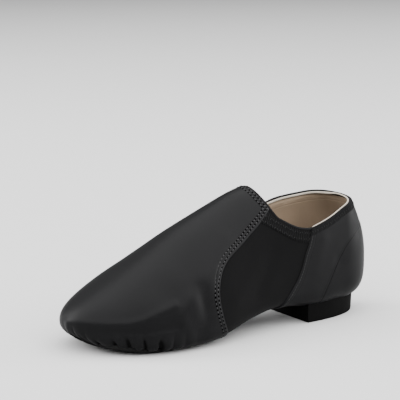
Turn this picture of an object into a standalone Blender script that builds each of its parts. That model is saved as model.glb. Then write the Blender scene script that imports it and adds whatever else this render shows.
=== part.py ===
"""Low slip-on jazz dance shoe for the left foot, standing empty on its heel and forefoot.

Metres, +Z up, +X to the toe, +Y to the outer side of the foot, the floor at z = 0.
Every piece is cut from one closed form, the outside of the shoe, taken in by a chosen inset.
"""

import bmesh
import bpy
import numpy as np

# Main sizes
LENGTH = 0.240
BALL_WIDTH = 0.083
INSTEP_HEIGHT = 0.098
HEEL_HEIGHT = 0.012

# Wall build-up, from the outside in
GAP = 0.0003
LEATHER = 0.0010
SOCK_WALL = 0.0016
INSOLE = 0.0020
SOLE = 0.0020

# How far the sole's curved underside would dip under the floor, which makes its flat spot
SOLE_DIP = 0.00015

# Where the rounded heel and the rounded toe begin, as shares of the length
HEEL_CENTRE = 0.13
TOE_CENTRE = 0.80
HEEL_ROUND = 2.15
TOE_ROUND = 2.1

# The heel's back leans forward above its fullest height, by so much where it reaches its top, which is
# a share of the instep height
BACK_LEAN = 0.0130
BACK_TOP = 0.880
LEAN_POWER = 2.2
MOST_LEAN = 1.15

# Low D shaped heel block, set in from the back and the sides of the heel by its margins
BLOCK_LENGTH = 0.0552
BLOCK_BACK_MARGIN = 0.0072
BLOCK_SIDE_MARGIN = 0.0035
BLOCK_ROUND = 2.3
BLOCK_FLARE = 0.0008
BLOCK_RIM = 0.006

# Oval forefoot sole on the centre line, set in from the toe's end and the widest line by its margins
PATCH_LENGTH = 0.0778
PATCH_TOE_MARGIN = 0.0127
PATCH_SIDE_MARGIN = 0.0085
PATCH_ROUND = 2.2
PATCH_RIM = 0.007

# Top edge of the shoe: where the throat starts at the sides, and how far it leans forward as it rises
THROAT = 0.373
THROAT_SLOPE = 0.54
BAND_WIDTH = 0.0090
BAND_INSET = 0.0003

# How far up and down the cutters under the shoe reach, and how far out those round it do
UNDER_REACH = 0.024
UNDER_START = -0.010
FAR = 0.30
SIDE = 0.08
NEAR = 0.002
BEYOND = 0.5

# The form of the shoe along its length.
# along: share of the length. outer, inner, centre: half widths and the centre line's shift, shares of
# the ball width. ridge, widest: heights, shares of the instep height.
# under: rise of the underside over the flat of the forefoot, a share of the heel's height.
# top_round, low_round: how square the section is above and below its widest height.
FORM_COLUMNS = ("along", "outer", "inner", "centre", "ridge", "widest", "under", "top_round", "low_round")
FORM_ROWS = (
    (0.00, 0.372, 0.355, 0.000, 1.400, 0.412, 0.804, 2.0, 3.4),
    (0.13, 0.372, 0.355, 0.000, 1.280, 0.402, 0.804, 2.0, 3.4),
    (0.24, 0.379, 0.343, 0.000, 1.330, 0.335, 0.846, 2.0, 4.6),
    (0.36, 0.392, 0.337, -0.006, 1.070, 0.286, 0.967, 2.0, 3.4),
    (0.47, 0.428, 0.361, -0.012, 0.979, 0.235, 0.613, 1.9, 3.2),
    (0.58, 0.482, 0.422, -0.012, 0.865, 0.194, 0.109, 1.9, 4.2),
    (0.68, 0.506, 0.470, -0.018, 0.750, 0.163, 0.000, 1.9, 5.2),
    (0.78, 0.494, 0.494, -0.036, 0.604, 0.153, 0.000, 2.0, 5.2),
    (0.87, 0.446, 0.482, -0.066, 0.488, 0.158, 0.068, 2.1, 4.4),
    (1.00, 0.361, 0.434, -0.108, 0.378, 0.189, 0.509, 2.2, 2.6),
)

# Height of the top edge on each side, shares of the instep height
COLLAR_COLUMNS = ("along", "outer", "inner")
COLLAR_ROWS = (
    (-0.10, 0.883, 0.883),
    (0.00, 0.883, 0.883),
    (0.06, 0.873, 0.878),
    (0.12, 0.835, 0.862),
    (0.18, 0.770, 0.853),
    (0.23, 0.729, 0.840),
    (0.26, 0.711, 0.824),
    (0.31, 0.729, 0.805),
    (0.36, 0.793, 0.830),
    (0.41, 0.867, 0.892),
    (0.46, 0.930, 0.950),
)

# Rear edge of the vamp, seen from the side
VAMP_EDGE_COLUMNS = ("along", "height")
VAMP_EDGE_ROWS = (
    (0.360, 1.200),
    (0.390, 0.869),
    (0.422, 0.806),
    (0.465, 0.736),
    (0.504, 0.674),
    (0.535, 0.630),
    (0.560, 0.592),
    (0.580, 0.549),
    (0.598, 0.488),
    (0.608, 0.427),
    (0.613, 0.360),
    (0.612, 0.290),
    (0.606, 0.220),
    (0.596, 0.144),
    (0.584, 0.077),
    (0.576, -0.100),
)

# Front edge of the quarter, seen from the side
QUARTER_EDGE_COLUMNS = ("along", "height")
QUARTER_EDGE_ROWS = (
    (0.258, 1.200),
    (0.262, 0.700),
    (0.268, 0.640),
    (0.275, 0.592),
    (0.287, 0.530),
    (0.304, 0.420),
    (0.320, 0.345),
    (0.342, 0.272),
    (0.362, 0.205),
    (0.374, 0.145),
    (0.378, -0.100),
)

# Grid of the form: steps round the heel, along the sides and round the toe, then the levels of each rib,
# from the middle of the underside (-1) over the widest line (0) to the ridge (1)
HEEL_STEPS = 7
SIDE_STEPS = 18
TOE_STEPS = 7
LOW_LEVELS = (1.0, 0.75, 0.50, 0.34, 0.20, 0.09)
TOP_LEVELS = (0.0, 0.06, 0.12, 0.18, 0.24, 0.31, 0.40, 0.50, 0.60, 0.70, 0.80, 0.90, 1.0)
LEVELS = tuple(-level for level in LOW_LEVELS) + TOP_LEVELS
INSOLE_LEVELS = 3
PLAN_STEPS = 48
COLLAR_STEPS = 28
BAND_STEPS = 12
BAND_ROWS = 4
COLLAR_BLEND = 0.15

WELD = 0.00001


def column(rows, columns, name):
    """One named column of a table, as an array."""
    return np.array([row[columns.index(name)] for row in rows])


def smooth(xs, ys, x):
    """A smooth curve through the points xs, ys, read at x."""
    step = np.diff(xs)
    rise = np.diff(ys) / step
    slope = np.concatenate(
        [
            rise[:1],
            (rise[:-1] * step[1:] + rise[1:] * step[:-1]) / (step[:-1] + step[1:]),
            rise[-1:],
        ]
    )
    at = np.clip(x, xs[0], xs[-1])
    index = np.clip(np.searchsorted(xs, at, side="right") - 1, 0, len(xs) - 2)
    width = step[index]
    t = (at - xs[index]) / width
    start = (2 * t**3 - 3 * t**2 + 1) * ys[index] + (t**3 - 2 * t**2 + t) * width * slope[index]
    end = (3 * t**2 - 2 * t**3) * ys[index + 1] + (t**3 - t**2) * width * slope[index + 1]
    return start + end


def form_value(name, x, scale=1.0):
    """A column of the form's table at the distance x from the heel's back."""
    along = column(FORM_ROWS, FORM_COLUMNS, "along") * LENGTH
    return scale * smooth(along, column(FORM_ROWS, FORM_COLUMNS, name), x)


def half_width(side, x, inset):
    """Half width at x on the outer side (1) or the inner side (-1)."""
    outer = form_value("outer", x, BALL_WIDTH)
    inner = form_value("inner", x, BALL_WIDTH)
    return np.where(side > 0, outer, inner) - inset


def centre_line(x):
    """The centre line's y at x."""
    return form_value("centre", x, BALL_WIDTH)


def underside(x):
    """Height of the underside's middle at x."""
    return SOLE - LEATHER - SOLE_DIP + form_value("under", x, HEEL_HEIGHT)


def ribs():
    """Each rib of one side as (heel angle, x on the side, toe angle), with None for what it hasn't."""
    heel, toe = HEEL_CENTRE * LENGTH, TOE_CENTRE * LENGTH
    found = [(angle, heel, None) for angle in np.linspace(0, np.pi / 2, HEEL_STEPS + 1)[:-1]]
    found += [(None, x, None) for x in np.linspace(heel, toe, SIDE_STEPS + 1)]
    found += [(None, toe, angle) for angle in np.linspace(np.pi / 2, 0, TOE_STEPS + 1)[1:]]
    return found


def rib_ends(rib, side, inset):
    """The rib's inner end, on the centre line, and its outer end, on the widest outline, in plan."""
    heel_angle, x, toe_angle = rib
    base = np.array([x, centre_line(x)])
    if heel_angle is not None:
        reach = HEEL_CENTRE * LENGTH - inset
        out_x = x - reach * np.cos(heel_angle) ** (2 / HEEL_ROUND)
        out = half_width(side, x, inset) * np.sin(heel_angle) ** (2 / HEEL_ROUND)
    elif toe_angle is not None:
        reach = (1 - TOE_CENTRE) * LENGTH - inset
        out_x = x + reach * np.cos(toe_angle) ** (2 / TOE_ROUND)
        out = half_width(side, out_x, inset) * np.sin(toe_angle) ** (2 / TOE_ROUND)
    else:
        out_x, out = x, half_width(side, x, inset)
    return base, np.array([out_x, centre_line(out_x) + side * out])


def share_out(x, y, side, inset):
    """How far a plan point lies from the centre line (0) to the widest outline (1)."""
    heel, toe = HEEL_CENTRE * LENGTH, TOE_CENTRE * LENGTH
    across = np.abs(y - centre_line(np.maximum(x, heel))) / half_width(side, np.maximum(x, heel), inset)
    back = np.maximum(heel - x, 0) / (heel - inset)
    front = np.maximum(x - toe, 0) / (LENGTH - toe - inset)
    at_heel = (across**HEEL_ROUND + back**HEEL_ROUND) ** (1 / HEEL_ROUND)
    at_toe = (across**TOE_ROUND + front**TOE_ROUND) ** (1 / TOE_ROUND)
    return np.clip(np.where(x < heel, at_heel, np.where(x > toe, at_toe, across)), 0, 1)


def form_points(rib, side, levels, inset):
    """Points of one rib of the form, taken in by the inset."""
    base, end = rib_ends(rib, side, inset)
    top = levels >= 0
    angle = np.abs(levels) * np.pi / 2
    power = np.where(top, form_value("top_round", end[0]), form_value("low_round", end[0]))
    out = np.cos(angle) ** (2 / power)
    out[np.abs(levels) == 1] = 0
    x = base[0] + out * (end[0] - base[0])
    y = base[1] + out * (end[1] - base[1])
    share = share_out(x, y, side, inset)
    widest = form_value("widest", x, INSTEP_HEIGHT)
    above = form_value("ridge", x, INSTEP_HEIGHT) - inset - widest
    below = widest - underside(x) - inset
    top_round = form_value("top_round", x)
    low_round = form_value("low_round", x)
    high = widest + above * (1 - share**top_round) ** (1 / top_round)
    low = widest - below * (1 - share**low_round) ** (1 / low_round)
    z = np.where(top, high, low)
    heel = HEEL_CENTRE * LENGTH
    backness = np.maximum(heel - x, 0) / heel
    rise = np.clip((z - widest) / (BACK_TOP * INSTEP_HEIGHT - widest), 0, MOST_LEAN)
    return np.stack([x + backness * BACK_LEAN * rise**LEAN_POWER, y, z], axis=-1)


def new_object(name, bm, smooth_faces=False):
    """An object of this name in the scene, made from a closed bmesh with its faces turned outwards."""
    bmesh.ops.recalc_face_normals(bm, faces=bm.faces)
    if bm.calc_volume(signed=True) < 0:
        bmesh.ops.reverse_faces(bm, faces=bm.faces)
    for face in bm.faces:
        face.smooth = smooth_faces
    mesh = bpy.data.meshes.new(name)
    bm.to_mesh(mesh)
    bm.free()
    obj = bpy.data.objects.new(name, mesh)
    bpy.context.scene.collection.objects.link(obj)
    return obj


def as_cutter(obj):
    """Marks an object as a helper that is neither seen nor handed on."""
    obj.hide_render = True
    obj.display_type = "WIRE"
    return obj


def form(name, inset):
    """The whole outside of the shoe as one closed body, taken in by the inset."""
    levels = np.array(LEVELS)
    bm = bmesh.new()
    for side in (1, -1):
        rows = []
        for rib in ribs():
            points = form_points(rib, side, levels, inset)
            rows.append([bm.verts.new(point) for point in points])
        for row, following in zip(rows[:-1], rows[1:]):
            for a, b, c, d in zip(row[:-1], row[1:], following[1:], following[:-1]):
                bm.faces.new((a, b, c, d) if side > 0 else (d, c, b, a))
    bmesh.ops.remove_doubles(bm, verts=bm.verts, dist=WELD)
    return new_object(name, bm, smooth_faces=True)


def strip(name, count, low_inset, high_inset):
    """A closed sheet along the underside, over the lowest levels, between two insets."""
    levels = np.array(LEVELS[:count])
    bm = bmesh.new()
    for side in (1, -1):
        layers = []
        for inset in (low_inset, high_inset):
            rows = [[bm.verts.new(p) for p in form_points(rib, side, levels, inset)] for rib in ribs()]
            layers.append(rows)
            for row, following in zip(rows[:-1], rows[1:]):
                for a, b, c, d in zip(row[:-1], row[1:], following[1:], following[:-1]):
                    bm.faces.new((a, b, c, d))
        low, high = layers
        for i in range(len(low) - 1):
            bm.faces.new((low[i][-1], low[i + 1][-1], high[i + 1][-1], high[i][-1]))
    bmesh.ops.remove_doubles(bm, verts=bm.verts, dist=WELD)
    return new_object(name, bm, smooth_faces=True)


def prism(name, outline, low, high, axis, grow=0.0):
    """A closed prism over a plan outline (axis "z") or a side view outline (axis "y").

    The upper end of a plan prism can be larger than its lower end by the width grow.
    """
    bm = bmesh.new()
    centre = np.mean(outline, axis=0)
    ends = []
    for height, more in ((low, 0.0), (high, grow)):
        ring = []
        for point in outline:
            away = point - centre
            moved = point + away * more / max(np.hypot(away[0], away[1]), WELD)
            if axis == "z":
                ring.append(bm.verts.new((moved[0], moved[1], height)))
            else:
                ring.append(bm.verts.new((moved[0], height, moved[1])))
        ends.append(ring)
    bm.faces.new(ends[0])
    bm.faces.new(ends[1])
    count = len(outline)
    for i in range(count):
        j = (i + 1) % count
        bm.faces.new((ends[0][i], ends[0][j], ends[1][j], ends[1][i]))
    bmesh.ops.triangulate(bm, faces=[face for face in bm.faces if len(face.verts) > 4])
    return as_cutter(new_object(name, bm))


def block_outline(inset):
    """The heel block's plan: straight at the front, rounded behind. A negative inset makes it larger."""
    front = BLOCK_BACK_MARGIN + BLOCK_LENGTH - inset
    back = BLOCK_BACK_MARGIN + inset
    half = half_width(-1, HEEL_CENTRE * LENGTH, BLOCK_SIDE_MARGIN) - inset
    angle = np.linspace(-np.pi / 2, np.pi / 2, PLAN_STEPS // 2 + 1)
    x = front - (front - back) * np.cos(angle) ** (2 / BLOCK_ROUND)
    x[[0, -1]] = front
    y = half * np.sign(np.sin(angle)) * np.abs(np.sin(angle)) ** (2 / BLOCK_ROUND)
    return np.stack([x, y], axis=-1)


def patch_middle():
    """The x of the forefoot sole's middle."""
    return LENGTH - PATCH_TOE_MARGIN - PATCH_LENGTH / 2


def patch_outline(inset):
    """The forefoot sole's oval plan. A negative inset makes it larger."""
    angle = np.linspace(0, 2 * np.pi, PLAN_STEPS, endpoint=False)
    across, along = np.sin(angle), np.cos(angle)
    length = PATCH_LENGTH / 2 - inset
    width = BALL_WIDTH / 2 - PATCH_SIDE_MARGIN - inset
    middle = patch_middle()
    x = middle + length * np.sign(along) * np.abs(along) ** (2 / PATCH_ROUND)
    y = centre_line(middle) + width * np.sign(across) * np.abs(across) ** (2 / PATCH_ROUND)
    return np.stack([x, y], axis=-1)


def edge_region(rows, columns, toward_toe):
    """Side view outline of everything on one side of an edge."""
    heights = column(rows, columns, "height")[::-1] * INSTEP_HEIGHT
    along = column(rows, columns, "along")[::-1] * LENGTH
    fine = np.linspace(heights[0], heights[-1], 3 * len(rows))
    edge = np.stack([smooth(heights, along, fine), fine], axis=-1)
    far = (1 + BEYOND) * LENGTH if toward_toe else -BEYOND * LENGTH
    return np.concatenate([edge, [(far, fine[-1]), (far, fine[0])]])


def side_top(x, side):
    """Height of the top edge at x on the outer side (1) or the inner side (-1)."""
    along = column(COLLAR_ROWS, COLLAR_COLUMNS, "along") * LENGTH
    name = "outer" if side > 0 else "inner"
    return INSTEP_HEIGHT * smooth(along, column(COLLAR_ROWS, COLLAR_COLUMNS, name), x)


def collar_height(x, y):
    """Height of the top edge at a plan point."""
    outward = np.clip(0.5 + y / (2 * COLLAR_BLEND * BALL_WIDTH), 0, 1)
    return outward * side_top(x, 1) + (1 - outward) * side_top(x, -1)


def edge_crossing(rows, columns, side, drop):
    """The x at which an edge meets the line that runs below the top edge by the drop."""
    heights = column(rows, columns, "height")[::-1] * INSTEP_HEIGHT
    along = column(rows, columns, "along")[::-1] * LENGTH
    xs = np.linspace(0, LENGTH / 2, PLAN_STEPS * BAND_STEPS)
    return np.interp(0, xs - smooth(heights, along, side_top(xs, side) - drop), xs)


def band_outline(side):
    """Side view outline of the elastic band, below the top edge, between the quarter and the vamp."""
    drops = np.linspace(0, BAND_WIDTH, BAND_ROWS)
    back = [edge_crossing(QUARTER_EDGE_ROWS, QUARTER_EDGE_COLUMNS, side, drop) + GAP for drop in drops]
    front = [edge_crossing(VAMP_EDGE_ROWS, VAMP_EDGE_COLUMNS, side, drop) - GAP for drop in drops]
    outline = [(x, side_top(x, side)) for x in np.linspace(back[0], front[0], BAND_STEPS)]
    outline += [(x, side_top(x, side) - drop) for x, drop in zip(front[1:-1], drops[1:-1])]
    outline += [(x, side_top(x, side) - BAND_WIDTH) for x in np.linspace(front[-1], back[-1], BAND_STEPS)]
    outline += [(x, side_top(x, side) - drop) for x, drop in zip(back[-2:0:-1], drops[-2:0:-1])]
    return np.array(outline)


def topline(name):
    """Everything above the shoe's top edge, back from the throat."""
    along = column(COLLAR_ROWS, COLLAR_COLUMNS, "along")
    xs = np.linspace(along[0], THROAT, COLLAR_STEPS + 1) * LENGTH
    ys = np.array([-SIDE, -COLLAR_BLEND * BALL_WIDTH, 0.0, COLLAR_BLEND * BALL_WIDTH, SIDE])
    bm = bmesh.new()
    low = [[bm.verts.new((x, y, collar_height(x, y))) for y in ys] for x in xs]
    high = [[bm.verts.new((x, y, FAR)) for y in ys] for x in xs[:-1]]
    lean = [xs[-1] + THROAT_SLOPE * (FAR - vertex.co.z) for vertex in low[-1]]
    high.append([bm.verts.new((x, y, FAR)) for x, y in zip(lean, ys)])
    for layer in (low, high):
        for row, following in zip(layer[:-1], layer[1:]):
            for a, b, c, d in zip(row[:-1], row[1:], following[1:], following[:-1]):
                bm.faces.new((a, b, c, d))
    for under, over in ((low[0], high[0]), (low[-1], high[-1])):
        for a, b, c, d in zip(under[:-1], under[1:], over[1:], over[:-1]):
            bm.faces.new((a, b, c, d))
    for edge in (0, -1):
        for i in range(len(xs) - 1):
            bm.faces.new((low[i][edge], low[i + 1][edge], high[i + 1][edge], high[i][edge]))
    bmesh.ops.triangulate(bm, faces=bm.faces)
    return as_cutter(new_object(name, bm))


def cut(obj, other, operation="DIFFERENCE"):
    """Adds an exact Boolean with the other object."""
    step = obj.modifiers.new(other.name, "BOOLEAN")
    step.operation = operation
    step.object = other
    step.solver = "EXACT"
    return step


def finish(obj, colour, roughness, metallic=0.0):
    """Gives the object its own material."""
    material = bpy.data.materials.new(obj.name)
    material.use_nodes = True
    shader = material.node_tree.nodes["Principled BSDF"]
    shader.inputs["Base Color"].default_value = (*colour, 1.0)
    shader.inputs["Roughness"].default_value = roughness
    shader.inputs["Metallic"].default_value = metallic
    obj.data.materials.clear()
    obj.data.materials.append(material)


def build():
    """Builds each piece from the forms and the cutters."""
    for obj in list(bpy.data.objects):
        bpy.data.objects.remove(obj, do_unlink=True)

    sock_outside = LEATHER + GAP
    sock_inside = sock_outside + SOCK_WALL
    insole_under = sock_inside + GAP
    insole_top = insole_under + INSOLE
    inside_leather = as_cutter(form("form_inside_leather", LEATHER))
    inside_sock = as_cutter(form("form_inside_sock", sock_inside))
    under_sole = as_cutter(form("form_under_sole", LEATHER - SOLE))

    above_collar = topline("above_collar")

    vamp_side = prism("vamp_side", edge_region(VAMP_EDGE_ROWS, VAMP_EDGE_COLUMNS, True), -SIDE, SIDE, "y")
    quarter_side = prism(
        "quarter_side", edge_region(QUARTER_EDGE_ROWS, QUARTER_EDGE_COLUMNS, False), -SIDE, SIDE, "y"
    )

    span = (UNDER_START, UNDER_REACH, "z")
    patch_room = prism("patch_room", patch_outline(-GAP), *span)
    block_room = prism("block_room", block_outline(-GAP - BLOCK_FLARE), *span)
    patch_hole = prism("patch_hole", patch_outline(PATCH_RIM), *span)
    block_hole = prism("block_hole", block_outline(BLOCK_RIM), *span)
    patch_fill = prism("patch_fill", patch_outline(PATCH_RIM + GAP), *span)
    block_fill = prism("block_fill", block_outline(BLOCK_RIM + GAP), *span)

    upper = form("upper", sock_outside)
    cut(upper, inside_sock)
    cut(upper, above_collar)
    cut(upper, patch_hole)
    cut(upper, block_hole)
    finish(upper, (0.030, 0.030, 0.032), 0.85)

    vamp = form("vamp", 0.0)
    cut(vamp, inside_leather)
    cut(vamp, above_collar)
    cut(vamp, vamp_side, "INTERSECT")
    cut(vamp, patch_room)
    finish(vamp, (0.045, 0.045, 0.048), 0.42)

    quarter = form("quarter", 0.0)
    cut(quarter, inside_leather)
    cut(quarter, above_collar)
    cut(quarter, quarter_side, "INTERSECT")
    cut(quarter, block_room)
    finish(quarter, (0.045, 0.045, 0.048), 0.42)

    for side, name in ((1, "elastic_band_lateral"), (-1, "elastic_band_medial")):
        low, high = sorted((NEAR * side, SIDE * side))
        band = form(name, BAND_INSET)
        cut(band, inside_leather)
        cut(band, prism(name + "_side", band_outline(side), low, high, "y"), "INTERSECT")
        finish(band, (0.020, 0.020, 0.021), 0.80)

    sole_top = as_cutter(form("sole_top", LEATHER))
    cut(sole_top, patch_fill)
    cut(sole_top, block_fill)
    cut(sole_top, inside_sock, "UNION")

    sole_reach = float(form_value("widest", patch_middle(), INSTEP_HEIGHT))
    sole = prism("forefoot_sole", patch_outline(0.0), 0.0, sole_reach, "z")
    sole.hide_render = False
    sole.display_type = "TEXTURED"
    cut(sole, under_sole, "INTERSECT")
    cut(sole, sole_top)
    finish(sole, (0.020, 0.020, 0.020), 0.90)

    block = prism("heel_block", block_outline(0.0), 0.0, UNDER_REACH, "z", BLOCK_FLARE)
    block.hide_render = False
    block.display_type = "TEXTURED"
    cut(block, sole_top)
    finish(block, (0.012, 0.012, 0.012), 0.70)

    insole = strip("insole", INSOLE_LEVELS, insole_under, insole_top)
    finish(insole, (0.42, 0.36, 0.28), 0.90)

    middle = bpy.data.objects.new("shoe", None)
    bpy.context.scene.collection.objects.link(middle)
    for obj in bpy.data.objects:
        if obj is not middle:
            obj.parent = middle
    across = [vertex.co.y for vertex in vamp.data.vertices]
    middle.location = (-LENGTH / 2, -(max(across) + min(across)) / 2, 0)


build()
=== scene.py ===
"""Low black slip-on jazz dance shoe: leather vamp and quarter, stretch arch, split sole, tan lining.

Sizes are in metres, in the shoe's own coordinates: x from the back of the heel to the toe, y to the
outer side of the left foot, z up from the floor.
"""

import logging
from collections.abc import Callable, Sequence
from dataclasses import dataclass
from enum import Enum

import bpy
import numpy as np
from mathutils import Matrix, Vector


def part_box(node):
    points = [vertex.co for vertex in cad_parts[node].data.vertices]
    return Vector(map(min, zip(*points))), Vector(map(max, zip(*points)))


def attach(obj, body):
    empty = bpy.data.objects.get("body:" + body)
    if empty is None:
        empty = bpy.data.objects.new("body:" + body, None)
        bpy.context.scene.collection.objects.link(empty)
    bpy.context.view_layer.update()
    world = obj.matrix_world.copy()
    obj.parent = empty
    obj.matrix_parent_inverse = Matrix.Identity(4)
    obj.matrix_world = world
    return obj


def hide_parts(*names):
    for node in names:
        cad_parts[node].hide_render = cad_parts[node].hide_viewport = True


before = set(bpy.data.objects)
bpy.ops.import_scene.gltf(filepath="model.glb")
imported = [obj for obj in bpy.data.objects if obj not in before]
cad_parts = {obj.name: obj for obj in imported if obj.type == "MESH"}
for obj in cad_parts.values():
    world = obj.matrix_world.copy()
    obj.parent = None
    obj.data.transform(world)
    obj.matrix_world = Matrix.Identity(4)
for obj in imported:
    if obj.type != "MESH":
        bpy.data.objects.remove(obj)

LOG = logging.getLogger("jazz shoe")

Array = np.ndarray
# A line is stations and girths, a shape is points and faces, and a rule is a value over the surface.
Line = tuple[Array, Array]
Shape = tuple[Array, list[list[int]]]
Objects = list[bpy.types.Object]
Rule = Callable[[Array, Array], Array]

MM = 0.001
SMALL_STEP = 2e-4

# How far the two rows of stitches lie from the vamp's edges.
SEWN_ROWS = (0.0017, 0.0042)

FORM_COLUMNS = ("along", "outer", "inner", "centre", "ridge", "widest", "under", "top_round", "low_round")
FORM_ROWS = (
    (0.00, 0.372, 0.355, 0.000, 1.400, 0.412, 0.804, 2.0, 3.4),
    (0.13, 0.372, 0.355, 0.000, 1.280, 0.402, 0.804, 2.0, 3.4),
    (0.24, 0.379, 0.343, 0.000, 1.330, 0.335, 0.846, 2.0, 4.6),
    (0.36, 0.392, 0.337, -0.006, 1.070, 0.286, 0.967, 2.0, 3.4),
    (0.47, 0.428, 0.361, -0.012, 0.979, 0.235, 0.613, 1.9, 3.2),
    (0.58, 0.482, 0.422, -0.012, 0.865, 0.194, 0.109, 1.9, 4.2),
    (0.68, 0.506, 0.470, -0.018, 0.750, 0.163, 0.000, 1.9, 5.2),
    (0.78, 0.494, 0.494, -0.036, 0.604, 0.153, 0.000, 2.0, 5.2),
    (0.87, 0.446, 0.482, -0.066, 0.488, 0.158, 0.068, 2.1, 4.4),
    (1.00, 0.361, 0.434, -0.108, 0.378, 0.189, 0.509, 2.2, 2.6),
)

COLLAR_COLUMNS = ("along", "outer", "inner")
COLLAR_ROWS = (
    (-0.10, 0.883, 0.883),
    (0.00, 0.883, 0.883),
    (0.06, 0.873, 0.878),
    (0.12, 0.835, 0.862),
    (0.18, 0.770, 0.853),
    (0.23, 0.729, 0.840),
    (0.26, 0.711, 0.824),
    (0.31, 0.729, 0.805),
    (0.36, 0.793, 0.830),
    (0.41, 0.867, 0.892),
    (0.46, 0.930, 0.950),
)

EDGE_COLUMNS = ("along", "height")
VAMP_EDGE_ROWS = (
    (0.360, 1.200),
    (0.390, 0.869),
    (0.422, 0.806),
    (0.465, 0.736),
    (0.504, 0.674),
    (0.535, 0.630),
    (0.560, 0.592),
    (0.580, 0.549),
    (0.598, 0.488),
    (0.608, 0.427),
    (0.613, 0.360),
    (0.612, 0.290),
    (0.606, 0.220),
    (0.596, 0.144),
    (0.584, 0.077),
    (0.576, -0.100),
)
QUARTER_EDGE_ROWS = (
    (0.258, 1.200),
    (0.262, 0.700),
    (0.268, 0.640),
    (0.275, 0.592),
    (0.287, 0.530),
    (0.304, 0.420),
    (0.320, 0.345),
    (0.342, 0.272),
    (0.362, 0.205),
    (0.374, 0.145),
    (0.378, -0.100),
)
COUNTER_SEAM_ROWS = (
    (-0.050, 0.735),
    (0.000, 0.715),
    (0.040, 0.690),
    (0.076, 0.655),
    (0.119, 0.581),
    (0.158, 0.468),
    (0.197, 0.300),
    (0.217, 0.210),
    (0.230, 0.120),
    (0.236, 0.000),
)


class Side(Enum):
    """The two sides of the foot, with the sign of their y."""

    OUTER = 1
    INNER = -1


class Free(Enum):
    """Which of the two surface coordinates a line is searched along."""

    STATION = "station"
    GIRTH = "girth"


def column(rows: Sequence[Sequence[float]], columns: Sequence[str], name: str) -> Array:
    """One named column of a table."""
    return np.array([row[columns.index(name)] for row in rows])


def smooth(xs: Array, ys: Array, x: Array) -> Array:
    """Reads a smooth curve through the points xs, ys.

    Args:
        xs: where the curve's points are, rising.
        ys: the curve's values there.
        x: where to read it.

    Returns:
        The curve's values at x, held at both ends.
    """
    step = np.diff(xs)
    rise = np.diff(ys) / step
    inner = (rise[:-1] * step[1:] + rise[1:] * step[:-1]) / (step[:-1] + step[1:])
    slope = np.concatenate([rise[:1], inner, rise[-1:]])
    at = np.clip(x, xs[0], xs[-1])
    index = np.clip(np.searchsorted(xs, at, side="right") - 1, 0, len(xs) - 2)
    width = step[index]
    t = (at - xs[index]) / width
    start = (2 * t**3 - 3 * t**2 + 1) * ys[index] + (t**3 - 2 * t**2 + t) * width * slope[index]
    end = (3 * t**2 - 2 * t**3) * ys[index + 1] + (t**3 - t**2) * width * slope[index + 1]
    return start + end


def ease(low: float, high: float, x: Array) -> Array:
    """A soft step from 0 at low to 1 at high."""
    t = np.clip((x - low) / (high - low), 0, 1)
    return t * t * (3 - 2 * t)


def spans(*parts: tuple[float, float, int]) -> Array:
    """Even steps over spans of (start, end, count) that follow each other, each shared end given once."""
    rows = [np.linspace(*part) for part in parts]
    return np.concatenate([row[:-1] for row in rows[:-1]] + rows[-1:])


def both_skins(numbers: Array, scale: float = 1 / MM) -> Array:
    """The numbers of a sheet's vertices for both skins of its wall, in millimetres unless scaled."""
    return np.tile(numbers * scale, 2)


def units(vectors: Array) -> Array:
    """Vectors scaled to length one."""
    return vectors / np.maximum(np.linalg.norm(vectors, axis=-1, keepdims=True), 1e-12)


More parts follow.
